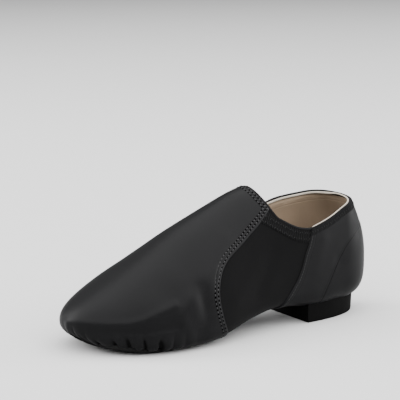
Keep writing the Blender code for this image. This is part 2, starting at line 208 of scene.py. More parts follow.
@dataclass(frozen=True)
class Last:
    """The outside of the shoe as one function.

    A point has a station and a girth. Stations run 0 to 1 round the heel, 1 to 2 along the sides and
    2 to 3 round the toe. Girths run from the middle of the underside (0) over the widest line of the
    outer side (1), the ridge (2) and the widest line of the inner side (3) to the underside (4).
    """

    length: float = 0.240
    ball: float = 0.083
    instep: float = 0.098
    heel_height: float = 0.012
    lift: float = 0.00085
    heel_centre: float = 0.13
    toe_centre: float = 0.80
    heel_round: float = 2.15
    toe_round: float = 2.1
    back_lean: float = 0.0130
    back_top: float = 0.08624
    lean_power: float = 2.2
    most_lean: float = 1.15

    def value(self, name: str, x: Array, scale: float = 1.0) -> Array:
        """A column of the form's table at the distance x from the heel's back."""
        along = column(FORM_ROWS, FORM_COLUMNS, "along") * self.length
        return scale * smooth(along, column(FORM_ROWS, FORM_COLUMNS, name), x)

    def half_width(self, side: Array, x: Array, inset: Array) -> Array:
        """Half width at x on the side with that sign.

        Args:
            side: the sign of each point's side.
            x: distances from the back of the heel.
            inset: how far inside the form to measure.

        Returns:
            The half widths.
        """
        outer = self.value("outer", x, self.ball)
        inner = self.value("inner", x, self.ball)
        return np.where(side > 0, outer, inner) - inset

    def centre(self, x: Array) -> Array:
        """The centre line's y at x."""
        return self.value("centre", x, self.ball)

    def floor_rise(self, x: Array) -> Array:
        """Height of the underside's middle at x."""
        return self.lift + self.value("under", x, self.heel_height)

    def share(self, x: Array, y: Array, side: Array, inset: Array) -> Array:
        """How far a plan point lies from the centre line (0) to the widest outline (1).

        Args:
            x: distances from the back of the heel.
            y: distances to the outer side.
            side: the sign of each point's side.
            inset: how far the outline lies inside the form.

        Returns:
            The shares, from 0 to 1.
        """
        heel, toe = self.heel_centre * self.length, self.toe_centre * self.length
        at = np.maximum(x, heel)
        across = np.abs(y - self.centre(at)) / self.half_width(side, at, inset)
        back = np.maximum(heel - x, 0) / (heel - inset)
        front = np.maximum(x - toe, 0) / (self.length - toe - inset)
        at_heel = (across**self.heel_round + back**self.heel_round) ** (1 / self.heel_round)
        at_toe = (across**self.toe_round + front**self.toe_round) ** (1 / self.toe_round)
        return np.clip(np.where(x < heel, at_heel, np.where(x > toe, at_toe, across)), 0, 1)

    def below(self, x: Array, share: Array, inset: Array) -> Array:
        """Height of the lower half of the form.

        Args:
            x: distances from the back of the heel.
            share: shares from the centre line to the outline.
            inset: how far inside the form to measure.

        Returns:
            The heights.
        """
        widest = self.value("widest", x, self.instep)
        power = self.value("low_round", x)
        return widest - (widest - self.floor_rise(x) - inset) * (1 - share**power) ** (1 / power)

    def above(self, x: Array, share: Array, inset: Array) -> Array:
        """Height of the upper half of the form.

        Args:
            x: distances from the back of the heel.
            share: shares from the centre line to the outline.
            inset: how far inside the form to measure.

        Returns:
            The heights.
        """
        widest = self.value("widest", x, self.instep)
        power = self.value("top_round", x)
        reach = self.value("ridge", x, self.instep) - inset - widest
        return widest + reach * (1 - share**power) ** (1 / power)

    def bottom(self, x: Array, y: Array, inset: float) -> Array:
        """Height of the underside over a plan point."""
        side = np.where(y > self.centre(x), 1, -1)
        return self.below(x, self.share(x, y, side, inset), inset)

    def place(self, station: Array, girth: Array, inset: Array | float = 0.0) -> Array:
        """Points of the form's surface.

        Args:
            station: stations of the points.
            girth: girths of the points.
            inset: how far each point lies inside the form's outside.

        Returns:
            The points' coordinates, one row each.
        """
        station, girth, inset = np.broadcast_arrays(station, girth, inset)
        girth = np.where((girth < 0) | (girth > 4), girth % 4, girth)
        side = np.where(girth < 2, 1.0, -1.0)
        level = np.where(girth < 2, girth, 4 - girth)
        heel, toe = self.heel_centre * self.length, self.toe_centre * self.length
        base_x = heel + np.clip(station - 1, 0, 1) * (toe - heel)
        back = np.clip(station, 0, 1) * np.pi / 2
        front = np.clip(3 - station, 0, 1) * np.pi / 2
        end_x = base_x - (heel - inset) * np.cos(back) ** (2 / self.heel_round) * (station < 1)
        end_x = end_x + (self.length - toe - inset) * np.cos(front) ** (2 / self.toe_round) * (station > 2)
        spread = np.sin(back) ** (2 / self.heel_round) * np.sin(front) ** (2 / self.toe_round)
        half = self.half_width(side, end_x, inset) * spread
        base_y = self.centre(base_x)
        end_y = self.centre(end_x) + side * half
        reach = np.hypot(end_x - base_x, end_y - base_y)
        widest = self.value("widest", end_x, self.instep)
        down = widest - self.floor_rise(end_x)
        up = self.value("ridge", end_x, self.instep) - widest
        top = level >= 1
        tall = np.where(top, up, down)
        power = np.where(top, self.value("top_round", end_x), self.value("low_round", end_x))
        slope = np.tan(np.abs(level - 1) * np.pi / 2) * reach / tall
        out = (1 + slope**power) ** (-1 / power)
        out = np.where((level == 0) | (level == 2), 0.0, out)
        x = base_x + out * (end_x - base_x)
        y = base_y + out * (end_y - base_y)
        share = np.where(out == 1, 1.0, self.share(x, y, side, inset))
        z = np.where(top, self.above(x, share, inset), self.below(x, share, inset))
        backness = np.maximum(heel - x, 0) / heel
        fullest = self.value("widest", x, self.instep)
        rise = np.clip((z - fullest) / (self.back_top - fullest), 0, self.most_lean)
        return np.stack([x + backness * self.back_lean * rise**self.lean_power, y, z], axis=-1)

    def tangents(self, station: Array, girth: Array) -> tuple[Array, Array]:
        """How the surface runs with the station and with the girth, by small steps.

        Args:
            station: stations of the points.
            girth: girths of the points.

        Returns:
            The change of place with the station and with the girth.
        """
        step = SMALL_STEP
        along = self.place(station + step, girth) - self.place(station - step, girth)
        around = self.place(station, girth + step) - self.place(station, girth - step)
        return along / (2 * step), around / (2 * step)

    def normal(self, station: Array, girth: Array) -> Array:
        """Outward unit normals of the surface."""
        along, around = self.tangents(station, girth)
        return units(np.cross(around, along))

    def distance(self, rule: Rule, station: Array, girth: Array) -> Array:
        """Distance over the surface to where the rule is nought, with the rule's sign.

        Args:
            rule: the rule.
            station: stations of the points.
            girth: girths of the points.

        Returns:
            The distances in metres.
        """
        step = SMALL_STEP
        along, around = self.tangents(station, girth)
        by_station = (rule(station + step, girth) - rule(station - step, girth)) / (2 * step)
        by_girth = (rule(station, girth + step) - rule(station, girth - step)) / (2 * step)
        e, f, g = (along * along).sum(-1), (along * around).sum(-1), (around * around).sum(-1)
        area = np.maximum(e * g - f * f, 1e-12)
        steep = (by_station**2 * g - 2 * by_station * by_girth * f + by_girth**2 * e) / area
        return rule(station, girth) / np.sqrt(np.maximum(steep, 1e-4))

    def trace(self, rule: Rule, goal: float, fixed: Array, low: float, high: float, free: Free) -> Array:
        """Finds where the distance to a rule's line has a chosen value.

        Args:
            rule: the rule whose line is followed.
            goal: the distance wanted, in metres.
            fixed: the coordinates that stay, one for each point.
            low: the lowest value searched.
            high: the highest value searched.
            free: which coordinate is searched.

        Returns:
            The searched coordinate of each point.
        """

        def miss(found: Array) -> Array:
            """How far the distance is from the one wanted."""
            pair = (found, fixed) if free is Free.STATION else (fixed, found)
            return self.distance(rule, *pair) - goal

        start = np.full(len(fixed), low)
        end = np.full(len(fixed), high)
        sign = np.sign(miss(end))
        for _ in range(26):
            middle = (start + end) / 2
            past = np.sign(miss(middle)) == sign
            end = np.where(past, middle, end)
            start = np.where(past, start, middle)
        return (start + end) / 2


@dataclass(frozen=True)
class Seams:
    """Where each piece of the shoe ends, as rules that are positive inside the piece."""

    last: Last
    throat: float = 0.373
    throat_slope: float = 0.54
    blend: float = 0.15
    block_back: float = 0.03
    block_front: float = 0.26
    block_half: float = 0.026
    block_round: float = 2.3
    patch_middle: float = 0.785
    patch_half_length: float = 0.0389
    patch_half_width: float = 0.0330
    patch_round: float = 2.2

    def edge(self, rows: Sequence[Sequence[float]], z: Array) -> Array:
        """The x of a side view edge at the height z."""
        heights = column(rows, EDGE_COLUMNS, "height")[::-1] * self.last.instep
        return smooth(heights, column(rows, EDGE_COLUMNS, "along")[::-1] * self.last.length, z)

    def top_height(self, x: Array, y: Array) -> Array:
        """Height of the top edge at a plan point.

        Args:
            x: distances from the back of the heel.
            y: distances to the outer side.

        Returns:
            The heights.
        """
        along = column(COLLAR_ROWS, COLLAR_COLUMNS, "along") * self.last.length
        outer = smooth(along, column(COLLAR_ROWS, COLLAR_COLUMNS, "outer"), x)
        inner = smooth(along, column(COLLAR_ROWS, COLLAR_COLUMNS, "inner"), x)
        outward = np.clip(0.5 + y / (2 * self.blend * self.last.ball), 0, 1)
        return self.last.instep * (outward * outer + (1 - outward) * inner)

    def vamp(self, station: Array, girth: Array) -> Array:
        """Positive on the vamp."""
        at = self.last.place(station, girth)
        return at[..., 0] - self.edge(VAMP_EDGE_ROWS, at[..., 2])

    def quarter(self, station: Array, girth: Array) -> Array:
        """Positive on the quarter."""
        at = self.last.place(station, girth)
        return self.edge(QUARTER_EDGE_ROWS, at[..., 2]) - at[..., 0]

    def counter(self, station: Array, girth: Array) -> Array:
        """Nought on the seam of the heel counter, positive behind it."""
        at = self.last.place(station, girth)
        return self.edge(COUNTER_SEAM_ROWS, at[..., 2]) - at[..., 0]

    def collar(self, station: Array, girth: Array) -> Array:
        """Positive below the collar's height."""
        at = self.last.place(station, girth)
        return self.top_height(at[..., 0], at[..., 1]) - at[..., 2]

    def throat_front(self, station: Array, girth: Array) -> Array:
        """Positive in front of the throat.

        Args:
            station: stations of the points.
            girth: girths of the points.

        Returns:
            The rule's values.
        """
        at = self.last.place(station, girth)
        start = self.throat * self.last.length
        foot = self.top_height(np.full_like(at[..., 0], start), at[..., 1])
        return at[..., 0] - start - self.throat_slope * (at[..., 2] - foot)

    def top(self, station: Array, girth: Array) -> Array:
        """Positive below the shoe's whole top edge."""
        return np.maximum(self.collar(station, girth), self.throat_front(station, girth))

    def patch(self, station: Array, girth: Array) -> Array:
        """Positive outside the forefoot sole.

        Args:
            station: stations of the points.
            girth: girths of the points.

        Returns:
            The rule's values.
        """
        at = self.last.place(station, girth)
        middle = self.patch_middle * self.last.length
        along = np.abs(at[..., 0] - middle) / self.patch_half_length
        across = np.abs(at[..., 1] - self.last.centre(np.array(middle))) / self.patch_half_width
        reach = (along**self.patch_round + across**self.patch_round) ** (1 / self.patch_round)
        return np.where(at[..., 2] < 0.2 * self.last.instep, (reach - 1) * self.patch_half_width, 1.0)

    def block(self, station: Array, girth: Array) -> Array:
        """Positive outside the heel block.

        Args:
            station: stations of the points.
            girth: girths of the points.

        Returns:
            The rule's values.
        """
        at = self.last.place(station, girth)
        front, back = self.block_front * self.last.length, self.block_back * self.last.length
        along = np.maximum(front - at[..., 0], 0) / (front - back)
        across = np.abs(at[..., 1]) / self.block_half
        reach = (along**self.block_round + across**self.block_round) ** (1 / self.block_round)
        outside = np.maximum((reach - 1) * self.block_half, at[..., 0] - front)
        return np.where(at[..., 2] < 0.3 * self.last.instep, outside, 1.0)

    def patch_outline(self, inset: float, count: int = 96) -> Array:
        """Plan outline of the forefoot sole.

        Args:
            inset: how far inside the full outline.
            count: how many points.

        Returns:
            The outline's points.
        """
        angle = np.linspace(0, 2 * np.pi, count, endpoint=False)
        across, along = np.sin(angle), np.cos(angle)
        middle = self.patch_middle * self.last.length
        power = 2 / self.patch_round
        x = middle + (self.patch_half_length - inset) * np.sign(along) * np.abs(along) ** power
        y = (self.patch_half_width - inset) * np.sign(across) * np.abs(across) ** power
        return np.stack([x, y + self.last.centre(np.array(middle))], axis=-1)

    def block_outline(self, inset: float, front_inset: float | None = None, count: int = 72) -> Array:
        """Plan outline of the heel block, a D with its straight side at the front.

        Args:
            inset: how far inside the full outline.
            front_inset: the same for the straight side, where it differs.
            count: how many points.

        Returns:
            The outline's points.
        """
        front = self.block_front * self.last.length - (inset if front_inset is None else front_inset)
        back = self.block_back * self.last.length + inset
        half = self.block_half - inset
        power = 2 / self.block_round
        between = 11
        angle = np.linspace(-np.pi / 2, np.pi / 2, count - between)
        x = front - (front - back) * np.abs(np.cos(angle)) ** power
        y = half * np.sign(np.sin(angle)) * np.abs(np.sin(angle)) ** power
        x[[0, -1]] = front
        straight = np.linspace(half, -half, between + 2)[1:-1]
        return np.concatenate([np.stack([x, y], -1), np.stack([np.full(between, front), straight], -1)])


@dataclass
class Workshop:
    """Turns points of the shoe's own coordinates into objects that belong to the frame."""

    offset: Array

    def make(
        self,
        name: str,
        points: Array,
        faces: Sequence[Sequence[int]],
        marks: dict[str, Array] | None = None,
        sharp: float = 40.0,
    ) -> bpy.types.Object:
        """Makes one mesh object.

        Args:
            name: the object's name.
            points: its vertices in the shoe's coordinates.
            faces: its faces, as rows of vertex numbers.
            marks: named numbers, one for each vertex, that its finish reads.
            sharp: the angle in degrees above which an edge stays hard.

        Returns:
            The new object.
        """
        mesh = bpy.data.meshes.new(name)
        mesh.from_pydata((points + self.offset).tolist(), [], [list(face) for face in faces])
        for label, numbers in (marks or {}).items():
            layer = mesh.attributes.new(label, "FLOAT", "POINT")
            layer.data.foreach_set("value", np.asarray(numbers, dtype=np.float32))
        mesh.polygons.foreach_set("use_smooth", np.ones(len(mesh.polygons), dtype=bool))
        mesh.set_sharp_from_angle(angle=np.radians(sharp))
        obj = bpy.data.objects.new(name, mesh)
        bpy.context.scene.collection.objects.link(obj)
        return obj

    def fit(self, obj: bpy.types.Object, finish: "Finish", node: str) -> bpy.types.Object:
        """Dresses an object, lets it ride on the shoe and hides the solid that it stands for.

        Args:
            obj: the object.
            finish: its finish.
            node: the solid that it stands for.

        Returns:
            The same object.
        """
        obj.data.materials.clear()
        obj.data.materials.append(finish.material())
        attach(obj, "root")
        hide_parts(node)
        return obj


class Sheet:
    """A piece of the shoe's wall as faces over station and girth, trimmed along rules."""

    def __init__(self, last: Last, stations: Array, girths: Array) -> None:
        """Lays an untrimmed grid.

        Args:
            last: the form that the sheet lies on.
            stations: the grid's stations.
            girths: the grid's girths.
        """
        self.last = last
        station, girth = np.meshgrid(stations, girths, indexing="ij")
        self.station, self.girth = station.ravel(), girth.ravel()
        number = np.arange(station.size).reshape(station.shape)
        corners = (number[:-1, :-1], number[:-1, 1:], number[1:, 1:], number[1:, :-1])
        self.faces = np.stack([corner.ravel() for corner in corners], axis=-1).tolist()

    def cut(self, rule: Rule, keep_both: bool = False) -> "Sheet":
        """Cuts the faces along the line where a rule is nought.

        Args:
            rule: the rule, positive on the side that stays.
            keep_both: whether the other side stays too.

        Returns:
            The sheet itself.
        """
        value = rule(self.station, self.girth)
        value = np.where(np.abs(value) < 1e-6, 1e-6, value)
        inside = value > 0
        flags = inside.tolist()
        crossing: dict[tuple[int, int], int] = {}
        mixed, kept = [], []
        for face in self.faces:
            count = sum(flags[i] for i in face)
            if count == len(face):
                kept.append(face)
            elif count == 0:
                if keep_both:
                    kept.append(face)
            else:
                mixed.append(face)
        for face in mixed:
            for a, b in zip(face, face[1:] + face[:1]):
                if flags[a] != flags[b]:
                    crossing.setdefault((min(a, b), max(a, b)), len(crossing))
        if crossing:
            pairs = np.array(list(crossing))
            low, high = np.zeros(len(pairs)), np.ones(len(pairs))
            start = inside[pairs[:, 0]]
            first = np.stack([self.station[pairs[:, 0]], self.girth[pairs[:, 0]]])
            last = np.stack([self.station[pairs[:, 1]], self.girth[pairs[:, 1]]])
            for _ in range(14):
                middle = (low + high) / 2
                at = first + (last - first) * middle
                same = (rule(at[0], at[1]) > 0) == start
                low = np.where(same, middle, low)
                high = np.where(same, high, middle)
            at = first + (last - first) * (low + high) / 2
            base = len(self.station)
            self.station = np.concatenate([self.station, at[0]])
            self.girth = np.concatenate([self.girth, at[1]])
            for face in mixed:
                for wanted in (True, False) if keep_both else (True,):
                    piece = []
                    for a, b in zip(face, face[1:] + face[:1]):
                        if flags[a] == wanted:
                            piece.append(a)
                        if flags[a] != flags[b]:
                            piece.append(base + crossing[(min(a, b), max(a, b))])
                    if len(piece) > 2:
                        kept.append(piece)
        self.faces = kept
        return self

    def weld(self) -> "Sheet":
        """Joins the grid where its sides meet, at the underside's middle, the heel, the toe and the fans.

        Returns:
            The sheet itself.
        """
        station, girth = self.station.copy(), self.girth.copy()
        girth = np.where(girth > 4 - 1e-9, 0.0, girth)
        closed = (station < 1e-9) | (station > 3 - 1e-9)
        girth = np.where(closed, np.minimum(girth, 4 - girth), girth)
        pole = (girth < 1e-9) | (np.abs(girth - 2) < 1e-9)
        station = np.where(pole, np.clip(station, 1, 2), station)
        keys = np.round(np.stack([station, girth], axis=-1), 9)
        _, first, number = np.unique(keys, axis=0, return_index=True, return_inverse=True)
        number = number.ravel().tolist()
        used: dict[int, int] = {}
        faces = []
        for face in self.faces:
            ring = [number[i] for i in face]
            ring = [a for a, b in zip(ring, ring[1:] + ring[:1]) if a != b]
            if len(ring) > 2 and len(set(ring)) == len(ring):
                faces.append([used.setdefault(i, len(used)) for i in ring])
        order = first[np.array(list(used))]
        self.station, self.girth, self.faces = self.station[order], self.girth[order], faces
        return self

    def rims(self) -> list[tuple[int, int]]:
        """The sheet's free edges, each in the direction of its face.

        Returns:
            The edges as pairs of vertex numbers.
        """
        seen: dict[tuple[int, int], int] = {}
        for face in self.faces:
            for a, b in zip(face, face[1:] + face[:1]):
                seen[(a, b)] = seen.get((a, b), 0) + 1
        return [(a, b) for (a, b) in seen if (b, a) not in seen]

    def loops(self) -> list[list[int]]:
        """The sheet's free edges as closed rows of vertex numbers, the longest first.

        Returns:
            The rows.
        """
        following = dict(self.rims())
        found = []
        while following:
            start, at = following.popitem()
            row = [start]
            while at != start and at in following:
                row.append(at)
                at = following.pop(at)
            found.append(row)
        return sorted(found, key=len, reverse=True)

    def points(self, inset: Array | float) -> Array:
        """The sheet's points at an inset."""
        return self.last.place(self.station, self.girth, inset)

    def wall(self, outer: Array | float, inner: Array | float) -> Shape:
        """The closed wall between two insets, as points and faces.

        Args:
            outer: the inset of the outer skin.
            inner: the inset of the inner skin.

        Returns:
            The wall.
        """
        count = len(self.station)
        faces = list(self.faces)
        faces += [[i + count for i in reversed(face)] for face in self.faces]
        faces += [[b, a, a + count, b + count] for a, b in self.rims()]
        return np.concatenate([self.points(outer), self.points(inner)]), faces


def swept(path: Array, across: Array, up: Array, profile: Sequence[Sequence[float]], closed: bool) -> Shape:
    """Sweeps a closed profile along a path.

    Args:
        path: the path's points.
        across: unit vectors of the profile's first direction, one for each point.
        up: unit vectors of its second direction.
        profile: the profile's points in those two directions.
        closed: whether the path ends where it starts.

    Returns:
        The points and the faces.
    """
    shape = np.array(profile)
    rings = path[:, None, :] + shape[None, :, :1] * across[:, None, :] + shape[None, :, 1:] * up[:, None, :]
    count, sides = len(path), len(shape)
    faces = []
    for i in range(count if closed else count - 1):
        j = (i + 1) % count
        for k in range(sides):
            m = (k + 1) % sides
            faces.append([i * sides + k, j * sides + k, j * sides + m, i * sides + m])
    if not closed:
        faces.append(list(range(sides)))
        faces.append([(count - 1) * sides + k for k in reversed(range(sides))])
    return rings.reshape(-1, 3), faces


def oval(width: float, height: float, count: int = 10) -> list[tuple[float, float]]:
    """Points of an oval profile."""
    angles = np.linspace(0, 2 * np.pi, count, endpoint=False)
    return [(width / 2 * np.cos(angle), height / 2 * np.sin(angle)) for angle in angles]


def resampled(points: Array, pitch: float, closed: bool = False) -> Array:
    """A row of points set out anew at an even pitch.

    Args:
        points: the row.
        pitch: the distance wanted from point to point.
        closed: whether the row ends where it starts.

    Returns:
        The new row.
    """
    row = np.concatenate([points, points[:1]]) if closed else points
    run = np.concatenate([[0], np.cumsum(np.linalg.norm(np.diff(row, axis=0), axis=1))])
    count = max(int(round(run[-1] / pitch)), 2)
    at = np.linspace(0, run[-1], count + 1)
    found = np.stack([np.interp(at, run, row[:, i]) for i in range(row.shape[1])], axis=-1)
    return found[:-1] if closed else found


def softened(points: Array, rounds: int, closed: bool) -> Array:
    """A row of points with its small kinks taken out.

    Args:
        points: the row.
        rounds: how many times each point moves toward its neighbours.
        closed: whether the row ends where it starts.

    Returns:
        The new row.
    """
    for _ in range(rounds):
        if closed:
            before, after = np.roll(points, 1, axis=0), np.roll(points, -1, axis=0)
            points = (before + 2 * points + after) / 4
        else:
            inner = (points[:-2] + 2 * points[1:-1] + points[2:]) / 4
            points = np.concatenate([points[:1], inner, points[-1:]])
    return points


@dataclass(frozen=True)
class Thread:
    """Stitches of one thread, each a small rounded bead along its row."""

    length: float = 0.0016
    width: float = 0.00050
    height: float = 0.00040
    pitch: float = 0.0021
    sides: int = 6
    rings: int = 5

    def bead(self) -> Shape:
        """One bead along its first axis, as points and faces.

        Returns:
            The bead.
        """
        angles = np.linspace(0, np.pi, self.rings + 2)[1:-1]
        turn = np.linspace(0, 2 * np.pi, self.sides, endpoint=False)
        rows = [np.array([[-self.length / 2, 0, 0]])]
        for angle in angles:
            size = np.sin(angle) ** 0.6
            ring = (
                np.full(self.sides, -np.cos(angle) * self.length / 2),
                size * np.cos(turn) * self.width / 2,
                size * np.sin(turn) * self.height / 2,
            )
            rows.append(np.stack(ring, axis=-1))
        rows.append(np.array([[self.length / 2, 0, 0]]))
        points = np.concatenate(rows)
        faces = []
        for k in range(self.sides):
            m = (k + 1) % self.sides
            faces.append([0, 1 + m, 1 + k])
            for ring in range(self.rings - 1):
                a, b = 1 + ring * self.sides, 1 + (ring + 1) * self.sides
                faces.append([a + k, a + m, b + m, b + k])
            end = 1 + (self.rings - 1) * self.sides
            faces.append([end + k, end + m, len(points) - 1])
        return points, faces

    def sew(self, centres: Array, tangents: Array, normals: Array, slant: Array | float = 0.0) -> Shape:
        """Beads at chosen places.

        Args:
            centres: the beads' middles.
            tangents: unit vectors along the row.
            normals: outward unit vectors.
            slant: the angle in radians by which each bead is turned out of the row.

        Returns:
            The points and the faces of all the beads.
        """
        across = units(np.cross(normals, tangents))
        slant = np.broadcast_to(slant, len(centres))[:, None]
        along = units(tangents * np.cos(slant) + across * np.sin(slant))
        across = units(np.cross(normals, along))
        points, faces = self.bead()
        placed = (
            centres[:, None, :]
            + points[None, :, :1] * along[:, None, :]
            + points[None, :, 1:2] * across[:, None, :]
            + points[None, :, 2:] * normals[:, None, :]
        )
        step = len(points)
        every = [[i + n * step for i in face] for n in range(len(centres)) for face in faces]
        return placed.reshape(-1, 3), every


def joined(pieces: Sequence[Shape]) -> Shape:
    """Several sets of points and faces as one.

    Args:
        pieces: the sets.

    Returns:
        The joined points and faces.
    """
    points, faces, base = [], [], 0
    for found, rows in pieces:
        points.append(found)
        faces += [[i + base for i in row] for row in rows]
        base += len(found)
    return np.concatenate(points), faces


def row_frames(last: Last, line: Line, inset: float, pitch: float) -> tuple[Array, Array, Array]:
    """Sets a row of stitches out along a line on the form.

    Args:
        last: the form.
        line: stations and girths of points along the line.
        inset: how deep in the form the stitches' middles lie.
        pitch: the distance from stitch to stitch.

    Returns:
        The stitches' middles, tangents and outward normals.
    """
    places = last.place(*line, inset)
    normals = last.normal(*line)
    even = resampled(np.concatenate([places, 1e-6 * normals], axis=1), pitch)
    middles, outward = even[:, :3], units(even[:, 3:])
    tangents = units(np.gradient(middles, axis=0))
    return middles, tangents, outward


class Field:
    """A value in a shader, with the operators that shader expressions use."""

    def __init__(self, book: "Book", socket: bpy.types.NodeSocket) -> None:
        """Wraps an output socket."""
        self.book = book
        self.socket = socket

    def math(self, operation: str, *others: "Field | float") -> "Field":
        """Adds a Math node that takes this value first."""
        return self.book.math(operation, self, *others)

    def __add__(self, other: "Field | float") -> "Field":
        """This value plus another."""
        return self.math("ADD", other)

    __radd__ = __add__

    def __sub__(self, other: "Field | float") -> "Field":
        """This value less another."""
        return self.math("SUBTRACT", other)

    def __rsub__(self, other: "Field | float") -> "Field":
        """Another value less this one."""
        return self.book.math("SUBTRACT", other, self)

    def __mul__(self, other: "Field | float") -> "Field":
        """This value times another."""
        return self.math("MULTIPLY", other)

    __rmul__ = __mul__

    def __abs__(self) -> "Field":
        """This value without its sign."""
        return self.math("ABSOLUTE")

    def step(self, low: float, high: float) -> "Field":
        """A soft step from 0 at low to 1 at high."""
        settings = {"interpolation_type": "SMOOTHSTEP"}
        return self.book.add("ShaderNodeMapRange", settings, {0: self, 1: low, 2: high, 3: 0.0, 4: 1.0})

    def line(self, centre: float, half: float) -> "Field":
        """A soft line, 1 where the value is centre and 0 beyond half away."""
        return 1 - abs(self - centre).step(0.0, half)


class Book:
    """The nodes of one material."""

    def __init__(self, name: str) -> None:
        """Starts a material.

        Args:
            name: the material's name.
        """
        self.made = bpy.data.materials.new(name)
        self.made.use_nodes = True
        self.tree = self.made.node_tree
        self.shader = self.tree.nodes["Principled BSDF"]

    def add(
        self,
        kind: str,
        settings: dict[str, object] | None = None,
        inputs: dict[int | str, object] | None = None,
        output: int = 0,
    ) -> Field:
        """Adds a node.

        Args:
            kind: the node's type.
            settings: its settings, which are set first.
            inputs: values or fields for its sockets.
            output: which output is wanted.

        Returns:
            That output as a field.
        """
        node = self.tree.nodes.new(kind)
        for name, value in (settings or {}).items():
            setattr(node, name, value)
        for key, value in (inputs or {}).items():
            self.feed(node.inputs[key], value)
        return Field(self, node.outputs[output])

    def feed(self, socket: bpy.types.NodeSocket, value: object) -> None:
        """Links a field to a socket, or sets a plain value on it.

        Args:
            socket: the socket.
            value: the field or the plain value.
        """
        if isinstance(value, Field):
            self.tree.links.new(value.socket, socket)
        else:
            socket.default_value = value

    def math(self, operation: str, *values: Field | float) -> Field:
        """Adds a Math node."""
        return self.add("ShaderNodeMath", {"operation": operation}, dict(enumerate(values)))

    def place(self, stretch: Sequence[float] = (1, 1, 1)) -> Field:
        """The place on the object in metres, stretched along each axis."""
        place = self.add("ShaderNodeTexCoord", output=3)
        return self.add("ShaderNodeVectorMath", {"operation": "MULTIPLY"}, {0: place, 1: tuple(stretch)})

    def noise(
        self, scale: float, detail: float = 2.0, rough: float = 0.5, stretch: Sequence[float] = (1, 1, 1)
    ) -> Field:
        """Cloudy noise from 0 to 1, with so many clouds to the metre."""
        inputs = {"Vector": self.place(stretch), "Scale": scale, "Detail": detail, "Roughness": rough}
        return self.add("ShaderNodeTexNoise", None, inputs)

    def cells(self, scale: float) -> Field:
        """Rounded cells, 0 in the middle of each."""
        inputs = {"Vector": self.place(), "Scale": scale, "Smoothness": 0.6}
        return self.add("ShaderNodeTexVoronoi", {"feature": "SMOOTH_F1"}, inputs)

    def mark(self, name: str) -> Field:
        """A number that the mesh carries at each vertex."""
        return self.add("ShaderNodeAttribute", {"attribute_name": name}, output=2)

    def wave(self, value: Field, pitch: float) -> Field:
        """A wave between 0 and 1 along a value."""
        return (value * (2 * np.pi / pitch)).math("SINE") * 0.5 + 0.5

    def mix(self, factor: Field, low: "Sequence[float] | Field", high: "Sequence[float] | Field") -> Field:
        """A colour between two colours.

        Args:
            factor: 0 for the low colour and 1 for the high one.
            low: the low colour.
            high: the high colour.

        Returns:
            The mixed colour.
        """
        low = low if isinstance(low, Field) else (*low, 1.0)
        high = high if isinstance(high, Field) else (*high, 1.0)
        return self.add("ShaderNodeMix", {"data_type": "RGBA"}, {0: factor, 6: low, 7: high}, output=2)

    def bump(self, height: Field, depth: float, strength: float = 1.0) -> Field:
        """A normal bent by a height of 0 to 1 that stands for so many metres."""
        inputs = {"Height": height, "Distance": depth, "Strength": strength}
        return self.add("ShaderNodeBump", None, inputs)

    def finish(self, **sockets: object) -> bpy.types.Material:
        """Feeds the shader's sockets, named with _ for each space, and returns the material.

        Args:
            sockets: a value or field for each socket.

        Returns:
            The material.
        """
        for name, value in sockets.items():
            self.feed(self.shader.inputs[name.replace("_", " ")], value)
        return self.made


@dataclass(frozen=True)
class Finish:
    """A finish: its name, colour and roughness."""

    name: str
    colour: tuple[float, float, float]
    roughness: float
    gloss: float = 0.3

    def tone(self, times: float, plus: float = 0.0) -> tuple[float, ...]:
        """The finish's colour made lighter or darker."""
        return tuple(times * c + plus for c in self.colour)

    def material(self) -> bpy.types.Material:
        """The finish's material, made once."""
        return bpy.data.materials.get(self.name) or self.paint(Book(self.name))

    def paint(self, book: Book) -> bpy.types.Material:
        """A plain even finish with a light cloudiness.

        Args:
            book: the nodes of the new material.

        Returns:
            The material.
        """
        cloud = book.noise(120, 2)
        colour = book.mix(cloud, self.tone(0.85), self.tone(1.15))
        rough = cloud * 0.1 + (self.roughness - 0.05)
        return book.finish(Base_Color=colour, Roughness=rough, Specular_IOR_Level=self.gloss)


